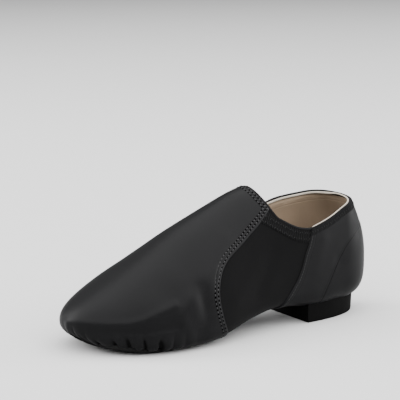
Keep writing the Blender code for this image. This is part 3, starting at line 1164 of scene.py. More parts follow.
@dataclass(frozen=True)
class Leather(Finish):
    """Smooth black leather with a fine grain, a soft sheen, sewn edges and light scuffs."""

    coat: float = 0.02
    rows: tuple[float, ...] = (1.7, 4.2)

    def paint(self, book: Book) -> bpy.types.Material:
        """Grain, sewn rows with painted shade in their grooves, a painted highlight along the folded edges,
        painted shade in the toe's slits and cloudy wear.

        Args:
            book: the nodes of the new material.

        Returns:
            The material.
        """
        seam = book.mark("seam")
        counter = book.mark("counter")
        grain = book.cells(1500) * 0.5 + book.noise(2600, 3) * 0.5
        lines = book.noise(420, 3, 0.6, (1, 0.45, 0.6))
        cloud = book.noise(34, 3)
        scuff = book.noise(180, 4, 0.7, (0.35, 1, 1)).step(0.60, 0.80)
        # Painted shade in the grooves that the sewn rows pull into the leather; the same lines also sink the
        # bump.
        pulled = seam.line(self.rows[0], 0.55)
        for row in self.rows[1:]:
            pulled = pulled + seam.line(row, 0.55)
        joint = abs(counter).line(0.0, 0.75)
        # Painted shade in the slits between the toe's gathers: darker and rougher there.
        slit = (book.mark("slit") * 1.8).math("MINIMUM", 1.0)
        # Painted highlight: the leather is lighter within 0.35 mm of its folded edges.
        cut = 1 - seam.step(0.0, 0.35)
        base = book.mix(cloud, self.tone(0.80), self.tone(1.22))
        base = book.mix(scuff * 0.35, base, self.tone(1.9))
        # Painted shade along the sewn rows, and the counter's dark joint.
        base = book.mix(pulled * 0.5 + joint * 0.9, base, self.tone(0.3))
        base = book.mix(cut * 0.3, base, self.tone(2.2))
        base = book.mix(slit * 0.9, base, self.tone(0.1))
        height = grain * 0.10 + lines * 0.22 - pulled * 0.9 - joint * 1.6
        rough = cloud * 0.10 + grain * 0.05 + scuff * 0.12 + slit * 0.5 + (self.roughness - 0.08)
        return book.finish(
            Base_Color=base,
            Roughness=rough,
            Normal=book.bump(height, 0.00012, 0.9),
            Coat_Weight=self.coat,
            Coat_Roughness=0.32,
            Specular_IOR_Level=0.055,
        )


@dataclass(frozen=True)
class Stretch(Finish):
    """Matt black stretch fabric with a fine knit and a faint nap."""

    sheen: float = 0.02

    def paint(self, book: Book) -> bpy.types.Material:
        """Knit, nap and a dusting of lint.

        Args:
            book: the nodes of the new material.

        Returns:
            The material.
        """
        knit = book.noise(2400, 2, 0.5, (1, 1, 0.5))
        soft = book.noise(60, 2)
        lint = book.noise(700, 3, 0.7).step(0.68, 0.78)
        base = book.mix(soft, self.tone(0.85), self.tone(1.2))
        base = book.mix(lint * 0.25, base, self.tone(3))
        return book.finish(
            Base_Color=base,
            Roughness=knit * 0.06 + (self.roughness - 0.03),
            Normal=book.bump(knit * 0.6 + soft * 2.0, 0.00012, 0.7),
            Sheen_Weight=self.sheen,
            Sheen_Roughness=0.6,
            Specular_IOR_Level=0.025,
        )


@dataclass(frozen=True)
class Ribbed(Finish):
    """Ribbed black elastic and binding, its ribs across the strip."""

    pitch: float = 1.5

    def paint(self, book: Book) -> bpy.types.Material:
        """Ribs, fine cross threads and a fine fuzz.

        Args:
            book: the nodes of the new material.

        Returns:
            The material.
        """
        rib = book.wave(book.mark("run"), self.pitch)
        thread = book.wave(book.mark("rim"), 0.8)
        fuzz = book.noise(1800, 3)
        base = book.mix(rib, self.tone(0.55), self.tone(1.7))
        height = rib * 1.6 + thread * 0.5 + fuzz * 0.5
        return book.finish(
            Base_Color=base,
            Roughness=fuzz * 0.1 + (self.roughness - 0.05),
            Normal=book.bump(height, 0.00018, 0.9),
            Sheen_Weight=0.005,
            Specular_IOR_Level=0.05,
        )


@dataclass(frozen=True)
class Canvas(Finish):
    """Tan cotton canvas with a plain weave, bleached in worn patches, with painted shade towards the heel and
    under the top edge.
    """

    weave: float = 0.9

    def paint(self, book: Book) -> bpy.types.Material:
        """Weave, mottling, worn patches, a darker band under the top edge's stitches, painted shade under the
        top edge and painted shade towards the heel.

        Args:
            book: the nodes of the new material.

        Returns:
            The material.
        """
        rim = book.mark("rim")
        run = book.mark("run")
        # Painted shade: the canvas gets darker towards the heel, deep inside the shoe.
        painted_heel_shade = 1 - book.mark("along").step(25.0, 115.0)
        warp = book.wave(run, self.weave)
        weft = book.wave(rim, self.weave)
        slub = book.noise(420, 3, 0.6)
        patchy = book.noise(55, 3)
        worn = book.noise(140, 3, 0.6).step(0.5, 0.75)
        hem = rim.line(3.2, 0.6)
        # Painted shade under the top edge: the canvas gets darker near the rim.
        shade = 1 - rim.step(1.0, 14.0)
        base = book.mix(patchy, self.tone(0.70), self.tone(1.18))
        bleached = (self.colour[0] * 1.25, self.colour[1] * 1.22, self.colour[2] * 1.15)
        base = book.mix(worn * 0.35, base, bleached)
        base = book.mix(painted_heel_shade * 0.92, base, self.tone(0.27))
        base = book.mix(shade * 0.80, base, self.tone(0.32))
        base = book.mix(hem * 0.6, base, self.tone(0.45))
        height = warp * weft * 0.8 + slub * 0.8 - hem * 1.2
        return book.finish(
            Base_Color=base,
            Roughness=slub * 0.1 + (self.roughness - 0.05),
            Normal=book.bump(height, 0.00016, 0.8),
            Specular_IOR_Level=0.25,
        )


@dataclass(frozen=True)
class Rubber(Finish):
    """Matt black rubber, greyed where it has walked."""

    dust: float = 0.3

    def paint(self, book: Book) -> bpy.types.Material:
        """Fine moulding grain and a film of floor dust on what faces down.

        Args:
            book: the nodes of the new material.

        Returns:
            The material.
        """
        grain = book.noise(2200, 3)
        film = book.noise(90, 4, 0.65).step(0.42, 0.75)
        base = book.mix(film * self.dust, self.colour, self.tone(2.6, 0.006))
        return book.finish(
            Base_Color=base,
            Roughness=grain * 0.1 + film * 0.1 + (self.roughness - 0.08),
            Normal=book.bump(grain, 0.00008, 0.7),
            Specular_IOR_Level=0.035,
        )


LEATHER = Leather("black leather", (0.0033, 0.0033, 0.0036), 0.47)
ROLLED_LEATHER = Finish("folded leather edge", (0.0030, 0.0030, 0.0032), 0.60, 0.06)
STRETCH = Stretch("black stretch fabric", (0.0017, 0.0017, 0.0018), 0.90)
ELASTIC = Ribbed("ribbed elastic", (0.0022, 0.0022, 0.0023), 0.84)
BINDING = Ribbed("ribbed binding", (0.0030, 0.0030, 0.0032), 0.80, pitch=1.2)
CANVAS = Canvas("tan canvas", (0.43, 0.315, 0.212), 0.88)
PIPING = Finish("pale lining edge", (0.28, 0.25, 0.21), 0.80, 0.15)
THREAD = Finish("black thread", (0.0135, 0.0135, 0.0140), 0.50, 0.15)
TOP_THREAD = Finish("dull black thread", (0.0080, 0.0080, 0.0083), 0.70, 0.1)
# Painted shade: near-black beads that stand for the shade in the stitch holes.
NEEDLE_HOLE_SHADE = Finish("painted needle hole shade", (0.0003, 0.0003, 0.0003), 0.95, 0.0)
PATCH_RUBBER = Rubber("forefoot rubber", (0.0065, 0.0065, 0.0065), 0.82)
BLOCK_RUBBER = Rubber("heel rubber", (0.0012, 0.0012, 0.0012), 0.80, dust=0.05)


@dataclass(frozen=True)
class Crease:
    """A soft trough or ridge along a path of places on the shoe, in millimetres."""

    path: tuple[tuple[float, float, float], ...]
    width: float
    height: float

    def relief(self, points: Array) -> Array:
        """How far the crease lifts each point, in metres.

        Args:
            points: the points.

        Returns:
            The lift of each point.
        """
        places = np.array(self.path) * MM
        away = np.full(len(points), 1.0)
        for start, end in zip(places[:-1], places[1:]):
            run = end - start
            share = np.clip((points - start) @ run / (run @ run), 0, 1)
            away = np.minimum(away, np.linalg.norm(points - (start + share[:, None] * run), axis=1))
        return self.height * MM * np.exp(-((away / (self.width * MM)) ** 2))


@dataclass(frozen=True)
class Gathers:
    """The radial folds where the leather is drawn in under the toe."""

    last: Last
    pitch: float = 0.0086
    depth: float = 0.0017
    slit: float = 0.0019
    full: float = 0.066
    end: float = 0.104
    low: float = 0.0085
    high: float = 0.0185
    slits: tuple[float, ...] = (
        *(0.005, 0.013, 0.024, 0.0375, 0.047, 0.058, 0.069),
        *(-0.006, -0.015, -0.026, -0.036, -0.047, -0.057),
    )

    def run(self, station: Array, girth: Array) -> Array:
        """Distance round the outline from the tip of the toe.

        Args:
            station: stations of the points.
            girth: girths of the points.

        Returns:
            The distances, below nought on the inner side.
        """
        grid = np.linspace(1, 3, 401)
        found = np.zeros_like(station)
        for level, side in ((1.0, Side.OUTER), (3.0, Side.INNER)):
            line = self.last.place(grid, np.full_like(grid, level))[:, :2]
            lengths = np.linalg.norm(np.diff(line, axis=0), axis=1)
            from_toe = np.concatenate([np.cumsum(lengths[::-1])[::-1], [0]])
            here = np.interp(station, grid, from_toe)
            found = np.where((girth < 2) == (side is Side.OUTER), side.value * here, found)
        return found

    def depths(self, station: Array, girth: Array, points: Array) -> Array:
        """How deep in a slit between two folds each point lies, from 0 to 1.

        Args:
            station: stations of the points.
            girth: girths of the points.
            points: the points themselves.

        Returns:
            The depths.
        """
        run = self.run(station, girth)
        found = np.zeros_like(run)
        for i, place in enumerate(self.slits):
            lean = 0.25 * (points[..., 2] - 0.009) * np.sign(place)
            wide = 0.0013 + 0.0004 * np.sin(2.3 * i)
            top = 0.0140 + 0.0020 * np.sin(1.7 * i + 0.5)
            shut = 1 - ease(0.55 * top, top, points[..., 2])
            shape = np.exp(-(((run - place + lean) / wide) ** 2))
            found = np.maximum(found, (0.8 + 0.2 * np.cos(1.9 * i)) * shut * shape)
        return found

    def relief(self, station: Array, girth: Array, points: Array) -> Array:
        """How far the folds lift each point, in metres.

        Args:
            station: stations of the points.
            girth: girths of the points.
            points: the points themselves.

        Returns:
            The lift of each point.
        """
        run = self.run(station, girth)
        wander = 0.0013 * np.sin(run / 0.0083 + 0.7) + 0.0009 * np.sin(run / 0.0047 + 2.1)
        phase = np.pi * (run + wander) / self.pitch
        fold = np.abs(np.sin(phase)) ** 0.75 - 0.62
        uneven = 0.78 + 0.22 * np.sin(run / 0.0121 + 1.0) + 0.12 * np.sin(run / 0.0052)
        reach = 1 - ease(self.full, self.end, np.abs(run))
        top = self.high + 0.0035 * np.sin(run / 0.0068 + 0.4)
        height = 1 - ease(0.0, 1.0, (points[..., 2] - self.low) / (top - self.low))
        return self.depth * fold * uneven * reach * height - self.slit * self.depths(station, girth, points)


# The trough between the toe's smooth top and its gathers, and the lip above it, in millimetres.
TOE_TROUGH = (
    *((238, -4, 17.8), (228, 15, 17.6), (218, 24, 17.2)),
    *((206, 31, 17.0), (194, 36, 18.0), (181, 39, 19)),
)
TOE_LIP = (
    *((239, -5, 20.5), (232, 9, 21.4), (222, 19, 21.6), (212, 27, 22.4)),
    *((203, 31, 24.5), (193, 34, 29), (182, 36, 33)),
)


@dataclass
class Piece:
    """A sub-assembly of the shoe, which builds and dresses its own meshes."""

    last: Last
    seams: Seams
    shop: Workshop

    def add(
        self,
        name: str,
        shape: Shape,
        finish: Finish,
        node: str,
        marks: dict[str, Array] | None = None,
        sharp: float = 40.0,
    ) -> bpy.types.Object:
        """Makes one mesh, dresses it and fits it in place of a solid.

        Args:
            name: the mesh's name.
            shape: its points and faces.
            finish: its finish.
            node: the solid that it stands for.
            marks: named numbers, one for each point, that the finish reads.
            sharp: the angle in degrees above which an edge stays hard.

        Returns:
            The new object.
        """
        return self.shop.fit(self.shop.make(name, *shape, marks, sharp), finish, node)


@dataclass
class Vamp(Piece):
    """The leather forepart, open at the throat and sewn down behind with two rows."""

    wall: float = 0.0008
    fold: float = 0.0009
    roll: float = 0.00042
    puff: float = 0.00295
    deepest: float = 0.0014
    creases: tuple[Crease, ...] = (
        Crease(TOE_TROUGH, 2.3, -1.0),
        Crease(TOE_LIP, 3.0, 0.9),
        Crease(((161, 36, 42), (160, 39, 31), (159, 41, 20), (164, 41, 12)), 5.0, -0.9),
        Crease(((172, 37, 36), (180, 38, 27), (176, 40, 16)), 5.0, 0.5),
        Crease(((238, -12, 18), (228, -26, 17.6), (214, -36, 17.4), (198, -42, 18)), 2.6, -0.8),
        Crease(((160, -34, 40), (159, -38, 30), (160, -41, 18)), 5.0, -0.7),
        Crease(((186, 30, 40), (190, -24, 42)), 9.0, -0.7),
        Crease(((176, 26, 48), (178, -22, 50)), 8.0, 0.4),
        Crease(((150, 30, 48), (176, 40, 26)), 6.0, 0.5),
        Crease(((134, 22, 69), (156, 33, 46)), 6.0, 0.5),
        Crease(((130, -18, 70), (152, -31, 48)), 6.0, 0.4),
        Crease(((206, 22, 26), (216, 4, 34)), 6.0, -0.4),
    )

    def seam_relief(self, away: Array) -> Array:
        """The folded edge, the pulled rows and the puff between them.

        Args:
            away: distances from the edge.

        Returns:
            The lift there.
        """
        roll = -self.roll * np.clip(1 - away / self.fold, 0, 1) ** 2
        middle = 0.00016 * np.exp(-(((away - self.puff) / 0.0007) ** 2))
        edge = 0.00008 * np.exp(-(((away - 0.0008) / 0.0004) ** 2))
        pulled = sum(-0.00014 * np.exp(-(((away - row) / 0.0004) ** 2)) for row in SEWN_ROWS)
        return roll + (middle + edge) + pulled

    def relief(self, sheet: Sheet, seam: Array, rim: Array) -> Array:
        """All that lifts the leather, in metres.

        Args:
            sheet: the trimmed leather.
            seam: the distance of each point from the rear edge.
            rim: the distance of each point from the throat's edge.

        Returns:
            The lift of each point.
        """
        points = sheet.points(0.0)
        lift = self.seam_relief(seam) + self.seam_relief(np.maximum(rim, 0)) * 0.8
        lift = lift + Gathers(self.last).relief(sheet.station, sheet.girth, points)
        for crease in self.creases:
            lift = lift + crease.relief(points)
        return np.maximum(lift, -self.deepest)

    def build(self) -> Objects:
        """Makes and dresses the vamp.

        Returns:
            The finished objects.
        """
        stations = spans((1.25, 1.6, 34), (1.6, 2, 82), (2, 3, 136))
        sheet = Sheet(self.last, stations, spans((0, 1, 37), (1, 3, 81), (3, 4, 31)))
        sheet.cut(self.seams.vamp).cut(self.seams.top).cut(self.seams.patch)

        def seam(station: Array, girth: Array) -> Array:
            """Distance from the rear edge."""
            return self.last.distance(self.seams.vamp, station, girth)

        for away in (0.0004, self.fold, SEWN_ROWS[0], self.puff, SEWN_ROWS[1], 0.0051):
            sheet.cut(lambda s, g, away=away: seam(s, g) - away, keep_both=True)
        sheet.weld()
        behind = seam(sheet.station, sheet.girth)
        rim = self.last.distance(self.seams.throat_front, sheet.station, sheet.girth)
        rim = np.where(self.seams.collar(sheet.station, sheet.girth) < 0.004, rim, 0.05)
        lift = self.relief(sheet, behind, rim)
        points, faces = sheet.wall(-lift, self.wall - np.where(lift < 0, 1.0, 0.6) * lift)
        slits = Gathers(self.last).depths(sheet.station, sheet.girth, sheet.points(0.0))
        marks = {
            "seam": both_skins(np.minimum(behind, np.maximum(rim, 0))),
            "counter": np.full(len(points), 99.0),
            # The slit mark feeds the painted shade in the slits between the gathers.
            "slit": both_skins(slits, 1.0),
        }
        return [self.add("vamp_leather", (points, faces), LEATHER, "vamp", marks)]


@dataclass
class Quarter(Piece):
    """The leather heel part with its folded front edge and its counter seam."""

    wall: float = 0.0008
    fold: float = 0.0009
    roll: float = 0.00042
    creases: tuple[Crease, ...] = (
        Crease(((22, 27, 62), (38, 29, 46)), 5.0, -0.5),
        Crease(((40, 28, 40), (52, 28, 26)), 5.0, -0.4),
        Crease(((52, 28, 60), (60, 27, 40)), 5.0, 0.4),
        Crease(((14, -25, 58), (30, -27, 40)), 6.0, -0.4),
        Crease(((2, 8, 40), (2, -8, 44)), 6.0, 0.3),
    )

    def relief(self, sheet: Sheet, seam: Array, counter: Array) -> Array:
        """All that lifts the leather, in metres.

        Args:
            sheet: the trimmed leather.
            seam: the distance of each point from the front edge.
            counter: the distance of each point from the counter's seam.

        Returns:
            The lift of each point.
        """
        points = sheet.points(0.0)
        lift = -self.roll * np.clip(1 - seam / self.fold, 0, 1) ** 2
        lift = lift + 0.00016 * np.exp(-(((seam - 0.0008) / 0.0005) ** 2))
        lift = lift + 0.00030 * ease(-0.0008, 0.0003, counter)
        for crease in self.creases:
            lift = lift + crease.relief(points)
        return lift

    def build(self) -> Objects:
        """Makes and dresses the quarter.

        Returns:
            The finished objects.
        """
        girths = np.concatenate([spans((0, 1, 31), (1, 1.8, 42)), spans((2.2, 3, 42), (3, 4, 31))])
        sheet = Sheet(self.last, spans((0, 1, 43), (1, 1.48, 64)), girths)
        sheet.cut(self.seams.quarter).cut(self.seams.top).cut(self.seams.block)

        def seam(station: Array, girth: Array) -> Array:
            """Distance from the front edge."""
            return self.last.distance(self.seams.quarter, station, girth)

        for away in (0.0004, self.fold, 0.0017, 0.0030):
            sheet.cut(lambda s, g, away=away: seam(s, g) - away, keep_both=True)
        sheet.weld()
        front = seam(sheet.station, sheet.girth)
        counter = self.last.distance(self.seams.counter, sheet.station, sheet.girth)
        lift = self.relief(sheet, front, counter)
        points, faces = sheet.wall(-lift, self.wall - 0.6 * lift)
        marks = {"seam": both_skins(front), "counter": both_skins(counter), "slit": np.zeros(len(points))}
        return [self.add("quarter_leather", (points, faces), LEATHER, "quarter", marks)]


@dataclass
class StretchBody(Piece):
    """The stretch arch and side panels, which run under the leather on both sides."""

    outer: float = 0.00090
    inner: float = 0.00150
    under: float = 0.006
    creases: tuple[Crease, ...] = (
        Crease(((96, 26, 58), (112, 33, 30)), 6.0, -0.5),
        Crease(((112, 30, 50), (132, 36, 30)), 6.0, 0.4),
        Crease(((84, 24, 40), (104, 27, 22)), 5.0, -0.5),
        Crease(((100, -24, 56), (120, -30, 30)), 6.0, -0.5),
    )

    def build(self) -> Objects:
        """Makes and dresses the panels.

        Returns:
            The finished objects.
        """
        sheet = Sheet(self.last, np.linspace(1.1, 1.85, 96), spans((0, 1, 31), (1, 3, 81), (3, 4, 31)))
        sheet.cut(lambda s, g: self.under - self.seams.quarter(s, g))
        sheet.cut(lambda s, g: self.under - self.seams.vamp(s, g))
        sheet.cut(self.seams.top)
        sheet.weld()
        points = sheet.points(0.0)
        middle = np.abs(points[:, 1] - self.last.centre(points[:, 0]))
        below = points[:, 2] < 0.2 * self.last.instep
        lift = np.where(below, 0.0004 * np.exp(-((middle / 0.0016) ** 2)), 0.0)
        for crease in self.creases:
            lift = lift + crease.relief(points)
        rules = (self.seams.vamp, self.seams.quarter)
        cover = np.maximum(*(self.last.distance(rule, sheet.station, sheet.girth) for rule in rules))
        lift = lift * (1 - ease(-0.004, 0.0, cover))
        wall = sheet.wall(self.outer - lift, self.inner - 0.8 * lift)
        return [self.add("stretch_panels", wall, STRETCH, "upper")]


@dataclass
class Lining(Piece):
    """The canvas lining of the whole inside, with the two rolled edges along its top."""

    outer: float = 0.00155
    inner: float = 0.00260
    folded: tuple[float, float] = (0.0019, 0.0015)
    pale: tuple[float, float] = (0.0012, 0.0011)

    def sheet(self) -> Sheet:
        """The lining's trimmed sheet.

        Returns:
            The sheet.
        """
        stations = spans((0, 1, 31), (1, 2, 81), (2, 3, 31))
        girths = spans((0, 1, 21), (1, 3, 73), (3, 4, 21))
        return Sheet(self.last, stations, girths).cut(self.seams.top).weld()

    def build(self) -> Objects:
        """Makes and dresses the lining and its two edges.

        Returns:
            The finished objects.
        """
        sheet = self.sheet()
        rim = self.seams.top(sheet.station, sheet.girth)
        run = Gathers(self.last).run(np.maximum(sheet.station, 1), sheet.girth)
        marks = {"rim": both_skins(rim), "run": both_skins(run), "along": both_skins(sheet.points(0.0)[:, 0])}
        canvas = self.add("canvas_lining", sheet.wall(self.outer, self.inner), CANVAS, "upper", marks)
        return [canvas, *self.edges(*self.edge_path(sheet))]

    def edges(self, path: Array, across: Array, up: Array) -> Objects:
        """Lays the folded black edge on the top and the pale edge inside it.

        Args:
            path: the top edge's points.
            across: the directions into the shoe.
            up: the directions up from the edge.

        Returns:
            The two finished objects.
        """
        x = path[:, 0] / self.last.length
        near = ease(-0.014, 0.006, path[:, 1])
        rear = (1 - ease(0.04, 0.20, x)) * near
        band = ease(0.245, 0.275, x) * (path[:, 1] > 0)
        sink = 0.00040 + 0.00020 * band
        outer = path + (0.00020 + 0.00060 * near + 0.00040 * rear)[:, None] * across - sink[:, None] * up
        wide, tall = (1 + 0.7 * rear)[:, None], (1 + 0.45 * band)[:, None]
        folded = swept(outer, across * wide, up * tall, oval(*self.folded), True)
        rise = 0.00165 * near - 0.00150 - 0.0022 * band
        inner = path + (0.00150 + 0.00030 * near + 0.00110 * rear)[:, None] * across + rise[:, None] * up
        pale = swept(inner, across, up * (1.5 - 0.6 * near)[:, None], oval(*self.pale), True)
        return [
            self.add("folded_top_edge", folded, ROLLED_LEATHER, "upper"),
            self.add("pale_top_edge", pale, PIPING, "upper"),
        ]

    def edge_path(self, sheet: Sheet) -> tuple[Array, Array, Array]:
        """The top edge's path with the directions into the shoe and up from the edge.

        Args:
            sheet: the trimmed lining.

        Returns:
            The path's points, the directions across the wall and the directions out of it.
        """
        loop = np.array(sheet.loops()[0])
        station, girth = sheet.station[loop], sheet.girth[loop]
        path = resampled(softened(self.last.place(station, girth, 0.0), 4, True), 0.0010, True)
        tangent = units(np.roll(path, -1, axis=0) - np.roll(path, 1, axis=0))
        across = units(np.cross(tangent, (0, 0, 1)))
        across = across * np.sign((across * (path.mean(axis=0) - path)).sum())
        up = units(np.cross(tangent, across))
        up = up * np.sign(up[:, 2].sum())
        return path, across, up


@dataclass
class ElasticBands(Piece):
    """The ribbed elastic under the top edge on each side, between the quarter and the vamp."""

    width: float = 0.0090
    outer: float = 0.00035
    inner: float = 0.00088

    def build(self) -> Objects:
        """Makes and dresses both bands.

        Returns:
            The finished objects.
        """
        bands = []
        for side, name in ((Side.OUTER, "lateral"), (Side.INNER, "medial")):
            stations = np.linspace(1.12, 1.5, 150)
            girths = np.linspace(1.2, 1.95, 110)
            girths = girths if side is Side.OUTER else 4 - girths[::-1]
            sheet = Sheet(self.last, stations, girths)
            sheet.cut(self.seams.top)
            sheet.cut(lambda s, g: self.width - self.seams.collar(s, g))
            sheet.cut(lambda s, g: 0.0012 - self.seams.quarter(s, g))
            sheet.cut(lambda s, g: 0.0012 - self.seams.vamp(s, g))
            sheet.weld()
            rim = self.seams.collar(sheet.station, sheet.girth)
            rules = (self.seams.vamp, self.seams.quarter)
            hidden = np.maximum(*(rule(sheet.station, sheet.girth) for rule in rules))
            sink = 0.0005 * ease(-0.0004, 0.0002, hidden)
            edge = np.clip(np.minimum(rim, self.width - rim) / 0.0008, 0, 1)
            lift = 0.0002 * (edge - 1) - sink
            run = Gathers(self.last).run(sheet.station, sheet.girth)
            marks = {"rim": both_skins(rim), "run": both_skins(run)}
            wall = sheet.wall(self.outer - lift, self.inner)
            bands.append(self.add(f"elastic_{name}", wall, ELASTIC, f"elastic_band_{name}", marks))
        return bands


@dataclass
class CollarBinding(Piece):
    """The narrow ribbed binding sewn along the quarter's top."""

    width: float = 0.0052
    outer: float = -0.00028
    inner: float = 0.00015

    def build(self) -> Objects:
        """Makes and dresses the binding.

        Returns:
            The finished objects.
        """
        girths = np.concatenate([np.linspace(1.3, 1.75, 90), np.linspace(2.25, 2.7, 90)])
        sheet = Sheet(self.last, spans((0, 1, 61), (1, 1.3, 40)), girths)
        sheet.cut(self.seams.top)
        sheet.cut(lambda s, g: self.width - self.seams.collar(s, g))
        sheet.cut(self.seams.quarter)
        sheet.weld()
        rim = self.seams.collar(sheet.station, sheet.girth)
        edge = np.clip((self.width - rim) / 0.0008, 0, 1)
        wall = sheet.wall(self.outer + 0.0002 * (1 - edge), self.inner)
        run = Gathers(self.last).run(np.maximum(sheet.station, 1), sheet.girth)
        run = run + np.minimum(sheet.points(0.0)[:, 0] - self.last.heel_centre * self.last.length, 0)
        marks = {"rim": both_skins(rim), "run": both_skins(run)}
        return [self.add("collar_binding", wall, BINDING, "quarter", marks)]


@dataclass
class Insole(Piece):
    """The canvas sock that lies on the bottom inside."""

    outer: float = 0.0032
    inner: float = 0.0052
    reach: float = 0.84

    def build(self) -> Objects:
        """Makes and dresses the insole.

        Returns:
            The finished objects.
        """

        def covered(station: Array, girth: Array) -> Array:
            """Positive where the insole lies.

            Args:
                station: stations of the points.
                girth: girths of the points.

            Returns:
                The rule's values.
            """
            at = self.last.place(station, girth, self.outer)
            side = np.where(girth < 2, 1, -1)
            share = self.last.share(at[..., 0], at[..., 1], side, self.outer)
            low = (girth < 1) | (girth > 3)
            return np.where(low, self.reach - share, -1.0) * 0.5 * self.last.ball

        girths = np.concatenate([np.linspace(0, 1, 31), np.linspace(3, 4, 31)])
        sheet = Sheet(self.last, spans((0, 1, 31), (1, 2, 81), (2, 3, 31)), girths).cut(covered).weld()
        along = both_skins(sheet.points(0.0)[:, 0])
        marks = {"rim": both_skins(covered(sheet.station, sheet.girth)) + 4, "run": along, "along": along}
        return [self.add("insole_sock", sheet.wall(self.outer, self.inner), CANVAS, "insole", marks)]


def plate(rings: Sequence[Array], low_middle: Array, high_middle: Array) -> Shape:
    """Closes a row of rings, from the middle of the underside outwards and up, into one body.

    Args:
        rings: the rings, each with the same number of points.
        low_middle: the point that closes the first ring.
        high_middle: the point that closes the last ring.

    Returns:
        The points and the faces.
    """
    count = len(rings[0])
    points = np.concatenate([*rings, low_middle[None], high_middle[None]])
    faces = []
    for r in range(len(rings) - 1):
        for k in range(count):
            m = (k + 1) % count
            a, b = r * count, (r + 1) * count
            faces.append([a + k, b + k, b + m, a + m])
    last = (len(rings) - 1) * count
    for k in range(count):
        m = (k + 1) % count
        faces.append([len(points) - 2, k, m])
        faces.append([len(points) - 1, last + m, last + k])
    return points, faces


def turned_out(points: Array, faces: list[list[int]]) -> Shape:
    """The same body with its faces turned outwards.

    Args:
        points: its points.
        faces: its faces.

    Returns:
        The points and the faces.
    """
    volume = 0.0
    for face in faces:
        a = points[face[0]]
        for i, j in zip(face[1:-1], face[2:]):
            volume += float(a @ np.cross(points[i], points[j]))
    return (points, faces) if volume > 0 else (points, [face[::-1] for face in faces])


def stud(
    centre: Array, half: tuple[float, float], turn: float, low: float, high: float, taper: float
) -> Shape:
    """One raised bar of a tread, wider where it stands than at its face.

    Args:
        centre: its place in plan.
        half: half its length and half its width.
        turn: the angle of its length in plan.
        low: the height of its face.
        high: the height where it joins the sole.
        taper: how much smaller its face is on each side.

    Returns:
        The points and the faces.
    """
    along = np.array([np.cos(turn), np.sin(turn)])
    across = np.array([-along[1], along[0]])
    corners = ((-1, -0.4), (-0.6, -1), (0.6, -1), (1, -0.4), (1, 0.4), (0.6, 1), (-0.6, 1), (-1, 0.4))
    rows = []
    for less, z in ((0.0, high), (0.4 * taper, low + 0.35 * (high - low)), (taper, low)):
        for u, v in corners:
            spot = centre + along * u * (half[0] - less) + across * v * (half[1] - less)
            rows.append([spot[0], spot[1], z])
    count = len(corners)
    faces = []
    for low_ring, high_ring in ((0, count), (count, 2 * count)):
        for k in range(count):
            m = (k + 1) % count
            faces.append([high_ring + k, high_ring + m, low_ring + m, low_ring + k])
    faces.append([2 * count + k for k in reversed(range(count))])
    faces.append(list(range(count)))
    return np.array(rows), faces


@dataclass
class ForefootSole(Piece):
    """The oval rubber sole under the ball, with a thin rim round its tread of small bars."""

    face: float = -0.0010
    recess: float = -0.00055
    bed: float = 0.0009
    rim: float = 0.0013
    margin: float = 0.0012
    taper: float = 0.00022
    pitch: tuple[float, float] = (0.0029, 0.0027)
    bar: tuple[float, float] = (0.00095, 0.00050)
    turn: float = 0.10

    def ring(self, inset: float, depth: float) -> Array:
        """The outline at an inset, at a depth in the form, never under the floor.

        Args:
            inset: how far inside the full outline.
            depth: how deep in the form.

        Returns:
            The ring's points.
        """
        outline = self.seams.patch_outline(inset)
        z = np.maximum(self.last.bottom(outline[:, 0], outline[:, 1], depth), 0)
        return np.column_stack([outline, z])

    def build(self) -> Objects:
        """Makes and dresses the sole with its tread.

        Returns:
            The finished objects.
        """
        full = self.seams.patch_half_width
        rings = [self.ring(full * share, self.recess) for share in np.linspace(0.93, 0.06, 16)]
        for inset, depth in (
            (self.rim + 0.0002, self.recess),
            (self.rim, self.face),
            (0.0004, self.face),
            (0.0001, self.face + 0.0002),
            (0.0, self.face + 0.0006),
            (0.0, self.bed),
            (full * 0.5, self.bed),
        ):
            rings.append(self.ring(inset, depth))
        x = self.seams.patch_middle * self.last.length
        middle = np.array([x, self.last.centre(np.array(x))])
        depths = (self.recess, self.bed)
        heights = [max(float(self.last.bottom(middle[:1], middle[1:], depth)[0]), 0) for depth in depths]
        body = plate(rings, np.append(middle, heights[0]), np.append(middle, heights[1]))
        pieces = [turned_out(*body)]
        turn = np.array([[np.cos(self.turn), -np.sin(self.turn)], [np.sin(self.turn), np.cos(self.turn)]])
        power = self.seams.patch_round
        count = 18
        for i in range(-count, count + 1):
            for j in range(-count, count + 1):
                spot = middle + turn @ np.array([i * self.pitch[0], j * self.pitch[1]])
                along = abs(spot[0] - middle[0]) / (self.seams.patch_half_length - self.rim - self.margin)
                across = abs(spot[1] - middle[1]) / (full - self.rim - self.margin)
                if along**power + across**power < 1:
                    depths = (self.face, self.recess + 0.0003)
                    low, high = (float(self.last.bottom(spot[:1], spot[1:], depth)[0]) for depth in depths)
                    pieces.append(stud(spot, self.bar, self.turn, max(low, 0), max(high, 0.0006), self.taper))
        return [self.add("forefoot_rubber", joined(pieces), PATCH_RUBBER, "forefoot_sole", sharp=50)]


